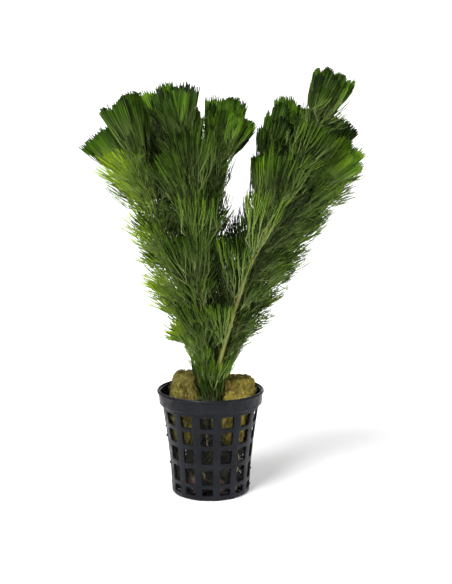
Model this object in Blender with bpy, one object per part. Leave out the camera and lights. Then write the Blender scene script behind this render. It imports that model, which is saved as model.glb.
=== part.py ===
"""A bunch of cabomba in its net pot, at its real size.

Eight cut stems stand between two pieces of rock wool in a plastic net pot, and carry leaves that fan
out from their tips. Metres, +Z up. The origin is the middle of the pot's underside, +X is to the right
of someone in front of the plant, and -Y points towards them.
"""

import math

import bmesh
import bpy
from mathutils import Matrix, Vector, noise
from mathutils.bvhtree import BVHTree

MM = 0.001

# Net pot: a conical basket under a plain collar
POT_HEIGHT = 52.8 * MM
RIM_RADIUS = 27.0 * MM
WALL_TOP_RADIUS = 24.5 * MM
BASE_RADIUS = 19.7 * MM
WALL_FLARE = 1.6
WALL_THICKNESS = 1.2 * MM
BASE_THICKNESS = 1.2 * MM
COLLAR_FOOT = 45.6 * MM
COLLAR_FOOT_RADIUS = 25.9 * MM
COLLAR_INNER_DROP = 1.0 * MM
BEAD_HEIGHT = 1.8 * MM
BEAD_DEPTH = 0.6 * MM
LEDGE_SLOPE = 0.4 * MM
RIB_COUNT = 14
RIB_DEGREES = 10.0
FIRST_RIB_DEGREES = -81.0
WINDOW_ROWS = ((2.6, 6.4), (8.4, 16.6), (19.2, 26.4), (28.8, 35.4), (37.6, 43.6))
BASE_SLOT_ROWS = ((7.0, 12.4), (14.0, 18.0))

# Space left between pieces that touch in the real plant
GAP = 0.3 * MM

# Rock wool: rows of height, centre x, centre y, half width, half depth, all in millimetres
WOOL_SIDES = 16
WOOL_SQUARENESS = 3.2
WOOL_ROUGHNESS = 0.9 * MM
WOOL_GRAIN = 7.0 * MM
WOOL_LEVELS = {
    "left": (
        (26.0, -12.9, 0.0, 7.2, 14.5),
        (28.5, -12.9, 0.0, 8.2, 17.5),
        (40.0, -12.9, 0.0, 8.3, 17.8),
        (48.0, -12.6, 0.6, 8.0, 15.5),
        (54.5, -12.3, 1.2, 7.9, 13.2),
        (58.6, -12.0, 1.6, 7.1, 11.6),
        (60.2, -11.8, 2.0, 5.2, 8.6),
    ),
    "right": (
        (26.0, 13.5, 0.0, 7.4, 14.5),
        (28.5, 13.5, 0.0, 8.6, 17.5),
        (40.0, 13.6, 0.0, 8.7, 17.8),
        (48.0, 14.4, -0.4, 9.2, 16.5),
        (53.2, 14.3, -0.2, 9.2, 14.4),
        (56.6, 13.9, 0.4, 8.2, 12.2),
        (58.0, 13.4, 1.0, 6.0, 9.0),
    ),
}

# Clay lumps on the pot's floor: centre x, centre y and half sizes, in millimetres
CLAY_LUMPS = {
    "clay_lump_large": (-7.6, -10.4, (5.0, 4.2, 5.4)),
    "clay_lump_small": (4.4, -12.6, (3.2, 2.8, 4.8)),
}
CLAY_ROUGHNESS = 0.175
CLAY_GRAIN = 0.6

# Stems: the points of each route in millimetres, from its cut foot to its tip
STEM_FOOT_RADIUS = 1.35 * MM
STEM_TIP_RADIUS = 0.7 * MM
STEM_SIDES = 6
STEM_SEGMENTS = 9
ROUTE_END = 0.99999
HALVINGS = 30
STEM_ROUTES = {
    "left_outer": (
        (-1.9, -2.0, 18), (-2.0, -2.0, 57), (-10, -1, 88),
        (-19, -2, 118), (-28, -3, 145), (-38, -4, 166),
    ),
    "left_back": (
        (-1.9, 4.4, 21), (-2.0, 4.6, 57), (-7, 9, 96),
        (-13, 13, 132), (-21, 15, 162), (-30, 16, 180),
    ),
    "left_front": (
        (-1.9, -8.4, 20), (-1.9, -8.4, 57), (-4, -10, 99),
        (-7, -12, 134), (-11, -13, 163), (-14, -13, 183),
    ),
    "left_inner": (
        (-1.8, 10.8, 17), (-1.6, 10.6, 57), (0, 5, 97),
        (-1, 3, 133), (0, 1, 157), (5, 0, 176),
    ),
    "right_front": (
        (2.3, -10.6, 22), (2.4, -10.8, 57), (13, -13, 98),
        (23, -15, 124), (38, -16, 157), (51, -15, 187),
    ),
    "right_inner": (
        (2.3, 2.8, 18), (2.4, 2.8, 57), (11, 6, 92),
        (19, 9, 122), (27, 11, 147), (34, 12, 172),
    ),
    "right_middle": (
        (2.3, -3.8, 20), (2.5, -3.8, 57), (17, -1, 93),
        (30, 0, 123), (44, 1, 148), (58, 2, 167),
    ),
    "right_outer": (
        (2.2, 9.2, 19), (2.6, 9.2, 57), (17, 11, 88),
        (31, 13, 113), (47, 13, 138), (61, 12, 157),
    ),
}

# Leaves: the height of each leaf's node, the place of its tip and its width, all in millimetres
LEAF_PLACES = {
    "left_outer": (
        (76, (-25, -5, 85), 16),
        (88, (-33, 5, 101), 15),
        (99, (-37, -8, 112), 20),
        (112, (-38, 9, 125), 18),
        (124, (-46, -9, 142), 21),
        (141, (-50, 8, 162), 22),
        (151, (-58, -7, 170), 25),
        (157, (-55, 5, 184), 27),
        (160, (-43, -8, 200), 27),
    ),
    "left_back": (
        (88, (-16, 32, 112), 26),
        (114, (-34, 36, 148), 30),
        (140, (-42, 32, 177), 30),
        (148, (-14, 38, 188), 30),
        (158, (-31, 20, 205), 26),
    ),
    "left_front": (
        (76, (-11, -27, 104), 24),
        (99, (-21, -31, 138), 28),
        (118, (-8, -34, 157), 26),
        (138, (-28, -31, 175), 28),
        (148, (-8, -33, 188), 26),
        (161, (-18, -15, 206), 28),
    ),
    "left_inner": (
        (96, (4, 17, 134), 26),
        (122, (-2, -8, 160), 20),
        (132, (-1, 24, 173), 22),
        (167, (17, 3, 191), 22),
        (158, (10, -7, 200), 24),
    ),
    "right_front": (
        (68, (6, -27, 104), 24),
        (97, (8, -34, 135), 28),
        (119, (27, -36, 158), 27),
        (140, (38, -37, 177), 30),
        (158, (53, -34, 188), 26),
        (183, (57, -17, 212), 15),
        (185, (66, -11, 209), 16),
    ),
    "right_inner": (
        (104, (10, 1, 147), 22),
        (136, (28, 4, 172), 19),
        (142, (41, 38, 178), 28),
        (151, (36, 8, 198), 21),
        (157, (45, 17, 200), 26),
    ),
    "right_middle": (
        (100, (28, 36, 130), 28),
        (127, (49, 37, 160), 30),
        (139, (56, -27, 166), 26),
        (151, (65, 4, 191), 27),
        (152, (74, -4, 176), 25),
    ),
    "right_outer": (
        (73, (21, 1, 88), 17),
        (83, (32, 15, 104), 18),
        (106, (51, 7, 125), 20),
        (122, (59, 7, 148), 20),
        (137, (73, 17, 167), 21),
    ),
}

# Small leaves low on some stems, in one piece with them here: the height of the node in millimetres,
# and the way that the leaf points in degrees, counted from +X towards +Y
LOW_LEAF_LENGTH = 21.0 * MM
LOW_LEAF_LEAN_DEGREES = 20.0
LOW_LEAF_WIDTH = 10.0 * MM
LOW_LEAVES = {
    "left_back": (60, 140),
    "left_front": (59, 225),
    "left_inner": (60, 100),
    "right_front": (60, 300),
    "right_middle": (60, 350),
    "right_outer": (60, 55),
}

# Shape of a leaf: a stalk, then a dished fan cut into blunt fingers. A share is of the leaf's length
# from its foot, or of its width
SIDE_TWIST_DEGREES = 48.0
FRONT_TWIST_DEGREES = 18.0
STALK_HALF_WIDTH = 0.8 * MM
STALK_HALF_THICKNESS = 0.6 * MM
BLADE_HALF_THICKNESS = 0.55 * MM
TIP_HALF_THICKNESS = 0.4 * MM
FORK_SHARE = 0.28
NOTCH_SHARE = 0.66
NOTCH_WIDTH_SHARE = 0.66
NOTCH_ROUNDING = 0.044
TIP_ROUNDING = 0.11
TIP_STAGGER = 0.05
FINGER_PITCH = 3.9 * MM
FEWEST_FINGERS = 5
FINGER_FILL = 0.76
DISH_SHARE = 0.22
RISE_SHARE = 0.22
SPREAD_SHARE = 0.16
TWIST_END_SHARE = 0.625

# What is tried in turn until a leaf is clear of its neighbours
LEAF_SHRINKS = (1.0, 0.9, 0.8, 0.7)
LEAF_SWINGS_DEGREES = (0, 9, -9, 18, -18)
LEAF_TURNS_DEGREES = (0, 12, -12, 24, -24, 36, -36, 50, -50)

# Faces that meet at less than this are shaded as one
POT_CREASE_DEGREES = 40.0
LEAF_CREASE_DEGREES = 50.0
STEM_CREASE_DEGREES = 70.0

# Colour and roughness of each material
COLOURS = {
    "pot_plastic": ((0.028, 0.030, 0.036), 0.38),
    "rock_wool": ((0.30, 0.235, 0.060), 0.95),
    "baked_clay": ((0.16, 0.10, 0.08), 0.9),
    "stem_green": ((0.22, 0.26, 0.07), 0.5),
    "leaf_green": ((0.05, 0.13, 0.018), 0.45),
}

NOISE_SEED = 17


def new_material(name, colour, roughness):
    material = bpy.data.materials.new(name)
    material.use_nodes = True
    shader = material.node_tree.nodes["Principled BSDF"]
    shader.inputs["Base Color"].default_value = (*colour, 1.0)
    shader.inputs["Roughness"].default_value = roughness
    shader.inputs["Metallic"].default_value = 0.0
    return material


def new_object(name, bm, material, crease_degrees=POT_CREASE_DEGREES):
    """Turns a bmesh into a named object of one material."""
    bmesh.ops.recalc_face_normals(bm, faces=bm.faces)
    mesh = bpy.data.meshes.new(name)
    bm.to_mesh(mesh)
    bm.free()
    mesh.materials.append(material)
    mesh.shade_smooth()
    mesh.set_sharp_from_angle(angle=math.radians(crease_degrees))
    made = bpy.data.objects.new(name, mesh)
    bpy.context.scene.collection.objects.link(made)
    return made


def bump(point, scale, salt):
    """A smooth value between about -1 and 1 that changes over the given length."""
    return noise.noise(point / scale + Vector((NOISE_SEED, salt, 0.0)))


def wall_radius(height):
    """Outside radius of the basket's wall, which flares a little more towards its top."""
    return BASE_RADIUS + (WALL_TOP_RADIUS - BASE_RADIUS) * (height / COLLAR_FOOT) ** WALL_FLARE


def pot_stations():
    """Outer point, inner point and whether the band above is slotted, from the base's middle to the rim.

    Each point is a radius and a height.
    """
    stations = []
    for start, end in BASE_SLOT_ROWS:
        stations.append(((start * MM, 0.0), (start * MM, BASE_THICKNESS), True))
        stations.append(((end * MM, 0.0), (end * MM, BASE_THICKNESS), False))
    inner_base = (BASE_RADIUS - WALL_THICKNESS, BASE_THICKNESS)
    stations.append(((BASE_RADIUS, 0.0), inner_base, False))
    for low, high in WINDOW_ROWS:
        for height, slotted in ((low * MM, True), (high * MM, False)):
            radius = wall_radius(height)
            stations.append(((radius, height), (radius - WALL_THICKNESS, height), slotted))
    wall_inner = WALL_TOP_RADIUS - WALL_THICKNESS
    ledge_edge = (COLLAR_FOOT_RADIUS, COLLAR_FOOT + LEDGE_SLOPE)
    stations.append(((WALL_TOP_RADIUS, COLLAR_FOOT), (wall_inner, COLLAR_FOOT - COLLAR_INNER_DROP), False))
    stations.append((ledge_edge, (wall_inner, COLLAR_FOOT), False))
    rim_inner = RIM_RADIUS - WALL_THICKNESS - BEAD_DEPTH
    bead_foot = POT_HEIGHT - BEAD_HEIGHT
    bead_edge = bead_foot + LEDGE_SLOPE
    stations.append(((RIM_RADIUS - BEAD_DEPTH, bead_foot), (rim_inner, bead_foot), False))
    stations.append(((RIM_RADIUS, bead_edge), (rim_inner, bead_edge), False))
    stations.append(((RIM_RADIUS, POT_HEIGHT), (rim_inner, POT_HEIGHT), False))
    return stations


def pot_angles():
    """Edges of the ribs in turn: each even step is a rib, each odd step the space between two ribs."""
    pitch = 360.0 / RIB_COUNT
    angles = []
    for rib in range(RIB_COUNT):
        middle = FIRST_RIB_DEGREES + rib * pitch
        angles.append(math.radians(middle - RIB_DEGREES / 2))
        angles.append(math.radians(middle + RIB_DEGREES / 2))
    return angles


def net_pot(material):
    """One closed shell: cells of a grid of angles and stations, left out where a window or slot is."""
    bm = bmesh.new()
    stations = pot_stations()
    angles = pot_angles()
    columns = len(angles)
    last_band = len(stations) - 2
    outer = []
    inner = []
    for outer_point, inner_point, _ in stations:
        for rings, (radius, height) in ((outer, outer_point), (inner, inner_point)):
            ring = [bm.verts.new((radius * math.cos(a), radius * math.sin(a), height)) for a in angles]
            rings.append(ring)

    def is_solid(band, column):
        if not 0 <= band <= last_band:
            return False
        return not stations[band][2] or column % 2 == 0

    for band in range(last_band + 1):
        above = band + 1
        for left in range(columns):
            if not is_solid(band, left):
                continue
            right = (left + 1) % columns
            bm.faces.new(
                (outer[band][left], outer[band][right], outer[above][right], outer[above][left])
            )
            bm.faces.new(
                (inner[band][left], inner[above][left], inner[above][right], inner[band][right])
            )
            if not is_solid(band, right):
                bm.faces.new(
                    (outer[band][right], inner[band][right], inner[above][right], outer[above][right])
                )
            if not is_solid(band, left - 1):
                bm.faces.new(
                    (outer[band][left], outer[above][left], inner[above][left], inner[band][left])
                )
            if band > 0 and not is_solid(band - 1, left):
                bm.faces.new(
                    (outer[band][left], inner[band][left], inner[band][right], outer[band][right])
                )
            if not is_solid(above, left):
                bm.faces.new(
                    (outer[above][left], outer[above][right], inner[above][right], inner[above][left])
                )
    # The first band is slotted, so the middle disc also needs its edge between the ribs.
    for left in range(1, columns, 2):
        right = (left + 1) % columns
        bm.faces.new((outer[0][left], outer[0][right], inner[0][right], inner[0][left]))
    bm.faces.new(list(reversed(outer[0])))
    bm.faces.new(inner[0])
    return new_object("net_pot", bm, material)


def rock_wool(side, material):
    """A torn block of wool, pressed against the inside of the pot."""
    bm = bmesh.new()
    rings = []
    salt = len(side)
    for height, centre_x, centre_y, half_width, half_depth in WOOL_LEVELS[side]:
        room = wall_radius(min(height * MM, COLLAR_FOOT)) - WALL_THICKNESS - 2 * GAP
        ring = []
        for step in range(WOOL_SIDES):
            angle = 2 * math.pi * step / WOOL_SIDES
            across = math.copysign(abs(math.cos(angle)) ** (2 / WOOL_SQUARENESS), math.cos(angle))
            along = math.copysign(abs(math.sin(angle)) ** (2 / WOOL_SQUARENESS), math.sin(angle))
            point = Vector((centre_x + half_width * across, centre_y + half_depth * along, height)) * MM
            outward = Vector((across, along, 0.0)).normalized()
            point += outward * WOOL_ROUGHNESS * bump(point, WOOL_GRAIN, salt)
            flat = point.to_2d()
            if flat.length > room:
                flat *= room / flat.length
            ring.append(bm.verts.new((flat.x, flat.y, point.z)))
        rings.append(ring)
    for low, high in zip(rings, rings[1:]):
        for step in range(WOOL_SIDES):
            beside = (step + 1) % WOOL_SIDES
            bm.faces.new((low[step], low[beside], high[beside], high[step]))
    bm.faces.new(list(reversed(rings[0])))
    bm.faces.new(rings[-1])
    return new_object(f"rock_wool_{side}", bm, material)


def clay_lump(name, place, material):
    """A rough lump that lies on the pot's floor."""
    centre_x, centre_y, half_sizes = place
    bm = bmesh.new()
    bmesh.ops.create_icosphere(bm, subdivisions=1, radius=1.0)
    for vertex in bm.verts:
        swell = 1.0 + CLAY_ROUGHNESS * bump(vertex.co, CLAY_GRAIN, half_sizes[0])
        vertex.co = Vector(size * part for size, part in zip(half_sizes, vertex.co * swell)) * MM
    lowest = min(vertex.co.z for vertex in bm.verts)
    lift = BASE_THICKNESS + GAP - lowest
    bmesh.ops.translate(bm, verts=bm.verts, vec=(centre_x * MM, centre_y * MM, lift))
    return new_object(name, bm, material)


def route_point(route, share):
    """A point and its direction on a smooth curve through the route's points, at a share from 0 to 1."""
    points = [Vector(point) * MM for point in route]
    spans = len(points) - 1
    place = min(share, ROUTE_END) * spans
    start = int(place)
    t = place - start
    before = points[max(start - 1, 0)]
    first, second = points[start], points[start + 1]
    after = points[min(start + 2, spans)]
    slope_in = (second - before) / 2
    slope_out = (after - first) / 2
    position = (
        first * (2 * t**3 - 3 * t**2 + 1)
        + slope_in * (t**3 - 2 * t**2 + t)
        + second * (3 * t**2 - 2 * t**3)
        + slope_out * (t**3 - t**2)
    )
    direction = (
        first * (6 * t**2 - 6 * t)
        + slope_in * (3 * t**2 - 4 * t + 1)
        + second * (6 * t - 6 * t**2)
        + slope_out * (3 * t**2 - 2 * t)
    )
    return position, direction.normalized()


def share_at_height(route, height):
    """How far along a route it reaches a height, by halving: every route climbs all the way."""
    low, high = 0.0, 1.0
    for _ in range(HALVINGS):
        middle = (low + high) / 2
        if route_point(route, middle)[0].z < height:
            low = middle
        else:
            high = middle
    return (low + high) / 2


def stem_radius(share):
    """Radius of a stem at a share of the way from its foot to its tip."""
    return STEM_FOOT_RADIUS + (STEM_TIP_RADIUS - STEM_FOOT_RADIUS) * share


def stem(name, route, material):
    """A tapering tube along its route, cut square at the foot and at the tip."""
    bm = bmesh.new()
    rings = []
    for segment in range(STEM_SEGMENTS + 1):
        share = segment / STEM_SEGMENTS
        centre, direction = route_point(route, share)
        side = direction.cross(Vector((0.0, 1.0, 0.0))).normalized()
        front = side.cross(direction)
        radius = stem_radius(share)
        ring = []
        for step in range(STEM_SIDES):
            angle = 2 * math.pi * step / STEM_SIDES
            around = side * math.cos(angle) + front * math.sin(angle)
            ring.append(bm.verts.new(centre + radius * around))
        rings.append(ring)
    for low, high in zip(rings, rings[1:]):
        for step in range(STEM_SIDES):
            beside = (step + 1) % STEM_SIDES
            bm.faces.new((low[step], low[beside], high[beside], high[step]))
    bm.faces.new(list(reversed(rings[0])))
    bm.faces.new(rings[-1])
    return new_object(name, bm, material, crease_degrees=STEM_CREASE_DEGREES)


def leaf_frame(foot, tip, stem_direction, outward, twist, share):
    """Centre, direction, side and outer face of a leaf's middle line, at a share of its length."""
    length = (tip - foot).length
    bend = foot + stem_direction * length * RISE_SHARE + outward * length * SPREAD_SHARE
    centre = foot * (1 - share) ** 2 + bend * 2 * share * (1 - share) + tip * share**2
    direction = ((bend - foot) * (1 - share) + (tip - bend) * share).normalized()
    face = (outward - direction * outward.dot(direction)).normalized()
    face = Matrix.Rotation(twist * min(1.0, share / TWIST_END_SHARE), 3, direction) @ face
    return centre, direction, direction.cross(face), face


def leaf_bmesh(leaf, width, twist, spare):
    """The stalk and fan of one leaf as a closed mesh, made thicker all round by the spare room."""
    foot, tip, stem_direction, outward = leaf
    bm = bmesh.new()

    def corner_pair(share, across, half_thickness):
        """Outer and inner vertex at a place on the leaf: across is the distance from its middle line."""
        centre, _, side, face = leaf_frame(foot, tip, stem_direction, outward, twist, share)
        dish = DISH_SHARE * width * (2 * across / width) ** 2
        middle = centre + side * across - face * dish
        half = face * (half_thickness + spare)
        return bm.verts.new(middle + half), bm.verts.new(middle - half)

    stalk = STALK_HALF_WIDTH + spare
    foot_pairs = [corner_pair(0.0, across, STALK_HALF_THICKNESS) for across in (-stalk, stalk)]
    fork_pairs = [corner_pair(FORK_SHARE, across, STALK_HALF_THICKNESS) for across in (-stalk, stalk)]
    fingers = max(FEWEST_FINGERS, round(width / FINGER_PITCH))
    notches = []
    for index in range(fingers + 1):
        place = 2 * index / fingers - 1
        share = NOTCH_SHARE - NOTCH_ROUNDING * place**2
        notches.append(corner_pair(share, place * NOTCH_WIDTH_SHARE * width / 2, BLADE_HALF_THICKNESS))
    outline = [foot_pairs[0], fork_pairs[0], notches[0]]
    patches = [[foot_pairs[0], foot_pairs[1], fork_pairs[1], fork_pairs[0]]]
    patches.append([fork_pairs[0], fork_pairs[1], *reversed(notches)])
    for index in range(fingers):
        middle = (2 * index + 1) / fingers - 1
        share = 1.0 - TIP_ROUNDING * middle**2 - TIP_STAGGER * (index % 2)
        half_tip = FINGER_FILL / fingers
        ends = []
        for place in (middle - half_tip, middle + half_tip):
            ends.append(corner_pair(share, place * width / 2, TIP_HALF_THICKNESS))
        patches.append([notches[index], notches[index + 1], ends[1], ends[0]])
        outline += [*ends, notches[index + 1]]
    outline += [fork_pairs[1], foot_pairs[1]]
    for patch in patches:
        bm.faces.new([pair[0] for pair in patch])
        bm.faces.new([pair[1] for pair in reversed(patch)])
    for pair, beside in zip(outline, outline[1:] + outline[:1]):
        bm.faces.new((pair[0], beside[0], beside[1], pair[1]))
    bmesh.ops.recalc_face_normals(bm, faces=bm.faces)
    bmesh.ops.triangulate(bm, faces=bm.faces)
    return bm


def is_clear(bm, placed):
    """Whether a mesh crosses none of the pieces already placed."""
    tree = BVHTree.FromBMesh(bm)
    return not any(tree.overlap(other) for other in placed)


def leaf_line(node, tip, stem_direction, clearance):
    """Where a leaf starts beside its stem, where it ends, and the way that its outer face looks."""
    reach = tip - node
    outward = (reach - stem_direction * reach.dot(stem_direction)).normalized()
    return node + outward * clearance, tip, stem_direction, outward


def clear_leaf(name, node, tip, stem_direction, clearance, width, placed):
    """The leaf at the first width, swing round its stem and turn at which it touches nothing."""
    for shrink in LEAF_SHRINKS:
        for swing in LEAF_SWINGS_DEGREES:
            swung = node + Matrix.Rotation(math.radians(swing), 3, stem_direction) @ (tip - node)
            leaf = leaf_line(node, swung, stem_direction, clearance)
            outward = leaf[3]
            sideways = abs(outward.x) > abs(outward.y)
            twist_degrees = SIDE_TWIST_DEGREES if sideways else FRONT_TWIST_DEGREES
            # A leaf turns its face towards the nearer of front and back.
            hand = 1 if outward.x * outward.y > 0 else -1
            for turn in LEAF_TURNS_DEGREES:
                twist = hand * math.radians(twist_degrees + turn)
                trial = leaf_bmesh(leaf, width * shrink, twist, GAP / 2)
                clear = is_clear(trial, placed)
                trial.free()
                if clear:
                    return leaf_bmesh(leaf, width * shrink, twist, 0.0)
    raise RuntimeError(f"{name} finds no place clear of its neighbours")


def tree_of(made):
    """A search tree of an object's faces. Every object here lies at the origin."""
    bm = bmesh.new()
    bm.from_mesh(made.data)
    tree = BVHTree.FromBMesh(bm)
    bm.free()
    return tree


def low_leaf(shoot, route, carrier, material, placed, own_tree):
    """A small leaf low on one stem, joined to it."""
    height, compass_degrees = LOW_LEAVES[shoot]
    compass = math.radians(compass_degrees)
    lean = math.radians(LOW_LEAF_LEAN_DEGREES)
    node, stem_direction = route_point(route, share_at_height(route, height * MM))
    away = Vector((math.cos(compass), math.sin(compass), 0.0))
    tip = node + LOW_LEAF_LENGTH * (away * math.sin(lean) + stem_direction * math.cos(lean))
    others = [tree for tree in placed if tree is not own_tree]
    name = f"low_leaf_{shoot}"
    bm = clear_leaf(name, node, tip, stem_direction, 0.0, LOW_LEAF_WIDTH, others)
    leaf = new_object(name, bm, material, crease_degrees=LEAF_CREASE_DEGREES)
    leaf.hide_render = True
    leaf.display_type = "WIRE"
    placed.append(tree_of(leaf))
    union = carrier.modifiers.new(name, "BOOLEAN")
    union.operation = "UNION"
    union.solver = "EXACT"
    union.object = leaf


def leaves_of(shoot, route, material, placed):
    """The leaves of one shoot, each with its foot just clear of the stem."""
    for index, (node_height, tip, width) in enumerate(LEAF_PLACES[shoot]):
        share = share_at_height(route, node_height * MM)
        node, stem_direction = route_point(route, share)
        clearance = stem_radius(share) + STALK_HALF_THICKNESS + GAP
        name = f"leaf_{shoot}_{index + 1}"
        bm = clear_leaf(name, node, Vector(tip) * MM, stem_direction, clearance, width * MM, placed)
        made = new_object(name, bm, material, crease_degrees=LEAF_CREASE_DEGREES)
        placed.append(tree_of(made))


def main():
    for old in list(bpy.data.objects):
        bpy.data.objects.remove(old)
    materials = {name: new_material(name, *look) for name, look in COLOURS.items()}
    placed = [tree_of(net_pot(materials["pot_plastic"]))]
    for side in WOOL_LEVELS:
        placed.append(tree_of(rock_wool(side, materials["rock_wool"])))
    for name, place in CLAY_LUMPS.items():
        placed.append(tree_of(clay_lump(name, place, materials["baked_clay"])))
    stems = {}
    stem_trees = {}
    for shoot, route in STEM_ROUTES.items():
        stems[shoot] = stem(f"stem_{shoot}", route, materials["stem_green"])
        stem_trees[shoot] = tree_of(stems[shoot])
        placed.append(stem_trees[shoot])
    for shoot, route in STEM_ROUTES.items():
        leaves_of(shoot, route, materials["leaf_green"], placed)
    for shoot in LOW_LEAVES:
        route = STEM_ROUTES[shoot]
        low_leaf(shoot, route, stems[shoot], materials["leaf_green"], placed, stem_trees[shoot])


if __name__ == "__main__":
    main()
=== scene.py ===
"""The looks of a potted cabomba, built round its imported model.

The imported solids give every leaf, stem and block its place. Each leaf becomes forked threads, the pot gets
rounded windows and damp plastic, and the rock wool its fibres. Metres, +Z up, and -Y is the front.
"""

import math

import bmesh
import bpy
import numpy as np
from bpy.props import FloatProperty, FloatVectorProperty, IntProperty, PointerProperty
from mathutils import Matrix, Vector, noise


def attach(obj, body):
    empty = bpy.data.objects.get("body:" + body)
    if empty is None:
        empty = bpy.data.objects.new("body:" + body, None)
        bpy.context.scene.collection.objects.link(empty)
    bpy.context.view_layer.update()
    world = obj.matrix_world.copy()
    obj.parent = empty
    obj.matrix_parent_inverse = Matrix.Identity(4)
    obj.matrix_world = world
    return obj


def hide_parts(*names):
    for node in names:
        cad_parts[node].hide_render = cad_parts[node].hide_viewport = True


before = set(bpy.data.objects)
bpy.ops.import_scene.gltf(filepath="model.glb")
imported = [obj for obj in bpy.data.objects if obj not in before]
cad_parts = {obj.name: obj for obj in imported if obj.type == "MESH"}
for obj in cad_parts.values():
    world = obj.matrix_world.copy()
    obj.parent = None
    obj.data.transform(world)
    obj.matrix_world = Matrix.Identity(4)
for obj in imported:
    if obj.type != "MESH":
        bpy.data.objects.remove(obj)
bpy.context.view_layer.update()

bl_info = {
    "name": "Potted cabomba",
    "version": (1, 0, 0),
    "blender": (4, 5, 0),
    "location": "3D View > Sidebar > Cabomba",
    "description": "Makes the finished pieces of a cabomba bunch in its net pot",
    "category": "Object",
}

MM = 0.001

# Stems: the points of each route in millimetres, from its cut foot to its tip, as in the part's source
STEM_ROUTES = {
    "left_outer": (
        (-1.9, -2.0, 18), (-2.0, -2.0, 57), (-10, -1, 88), (-19, -2, 118), (-28, -3, 145), (-38, -4, 166),
    ),
    "left_back": (
        (-1.9, 4.4, 21), (-2.0, 4.6, 57), (-7, 9, 96), (-13, 13, 132), (-21, 15, 162), (-30, 16, 180),
    ),
    "left_front": (
        (-1.9, -8.4, 20), (-1.9, -8.4, 57), (-4, -10, 99), (-7, -12, 134), (-11, -13, 163), (-14, -13, 183),
    ),
    "left_inner": (
        (-1.8, 10.8, 17), (-1.6, 10.6, 57), (0, 5, 97), (-1, 3, 133), (0, 1, 157), (5, 0, 176),
    ),
    "right_front": (
        (2.3, -10.6, 22), (2.4, -10.8, 57), (13, -13, 98), (23, -15, 124), (38, -16, 157), (51, -15, 187),
    ),
    "right_inner": (
        (2.3, 2.8, 18), (2.4, 2.8, 57), (11, 6, 92), (19, 9, 122), (27, 11, 147), (34, 12, 172),
    ),
    "right_middle": (
        (2.3, -3.8, 20), (2.5, -3.8, 57), (17, -1, 93), (30, 0, 123), (44, 1, 148), (58, 2, 167),
    ),
    "right_outer": (
        (2.2, 9.2, 19), (2.6, 9.2, 57), (17, 11, 88), (31, 13, 113), (47, 13, 138), (61, 12, 157),
    ),
}
STEM_FOOT_RADIUS = 1.15 * MM
STEM_TIP_RADIUS = 0.55 * MM

# How much thicker a stem is at its nodes, and the share of its length between two nodes
NODE_SWELL = 0.14
NODE_STEP = 0.11

# Shape of a leaf, as shares of its length or width, as in the part's source
RISE_SHARE = 0.22
SPREAD_SHARE = 0.16
DISH_SHARE = 0.22
TWIST_END_SHARE = 0.625

# A leaf's foot lies at this share of its stem's radius
FOOT_DEPTH = 0.8

# Shares of a leaf's length at which its threads fork, and the threads' radii from its foot on
FORKS = (0.17, 0.33, 0.54)
THREAD_RADII = (0.42 * MM, 0.32 * MM, 0.26 * MM, 0.22 * MM)
OPEN_TIP_RADIUS = 0.14 * MM
BLUNT_TIP_RADIUS = 0.3 * MM

# How uneven a leaf's rim is, as shares of its length. The first number is how far a tuft or a single tip
# may fall short, and the second how much less that is where threads cling together.
TUFT_DROP = (0.12, 0.07)
TIP_DROP = (0.05, 0.03)
LOBE_DEPTH = 0.045

# From this cling on, threads end bluntly and thin plates join them. The plates start at a share of the leaf.
LEAST_CLING = 0.4
WEB_START = 0.64
WEB_HALF_THICKNESS = 0.13 * MM
WEB_RIDGE = 0.2 * MM

# The highest leaf ends in two lobes
TWO_LOBED_LEAF = "leaf_right_front_7"
TWO_LOBE_DEPTH = 0.16
TWO_LOBED_TONE = 0.27

# Leaves with their tip further forward than this stand open at any height
FRONT_LEAVES_OPEN = -25 * MM

# Height at which the stems part into a left and a right side
SIDES_PART = 95 * MM

# Shoots at the back, whose small leaves stand closer and close the gaps between the stems
BACK_SHOOTS = ("left_back", "left_inner", "right_inner", "right_outer")
BACK_CLOSENESS = 0.78

# A packed leaf's neighbours lie round it by the first number of degrees, and the deepest by the second more.
# The deepest lie this far inside it and lose this share of their tone to painted shade, less so on the inner
# shoots.
NEIGHBOUR_DEGREES = (13, 7)
NEIGHBOUR_INSIDE = 2.5 * MM
NEIGHBOUR_SHADE = 0.8
INNER_NEIGHBOUR_SHADE = 0.3

# Leaves that face the front have fewer neighbours below this height, so that their forks show
FORKS_SHOW_BELOW = 160 * MM

# Small leaves stand upright and close in the wool, lean freely above it, and are shaded below its top
FREE_FROM = 58 * MM
FREE_OVER = 22 * MM
WOOL_TOP = 56 * MM
SHADED_OVER = 8 * MM

# Between these heights no small leaf grows in front of the front stem
BARE_STEM = (60 * MM, 140 * MM)

# Above this height, small leaves lean little towards the gap between the two sides
GAP_FOOT = 130 * MM

# How yellow each shoot's leaves are below the dark tops: 0 is dark green, 1 yellow-green. The outer shoots'
# yellow-green is painted light, shining through their leaves from behind.
SHOOT_YELLOW_AND_BACKLIGHT = {
    "left_outer": 0.9, "left_back": 0.28, "left_front": 0.34, "left_inner": 0.42,
    "right_front": 0.38, "right_inner": 0.42, "right_middle": 0.45, "right_outer": 0.85,
}

# Leaves with their tip above DARK_TOPS have the tone TOP_TONE. Within the bunch a leaf gets painted shade
# and keeps a share of its tone, INNER_SHARE, which grows above INNER_PALER. Both change over TONE_BLEND.
TOP_TONE = 0.23
DARK_TOPS = 182 * MM
INNER_SHARE = 0.16
INNER_PALER = 158 * MM
TONE_BLEND = 14 * MM
# The least tone of a clinging fan, which limits how dark its painted shade gets
DARKEST_FAN = 0.14
TUFT_TONE_SPREAD = 0.05
THREAD_TONE_SPREAD = 0.07

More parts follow.
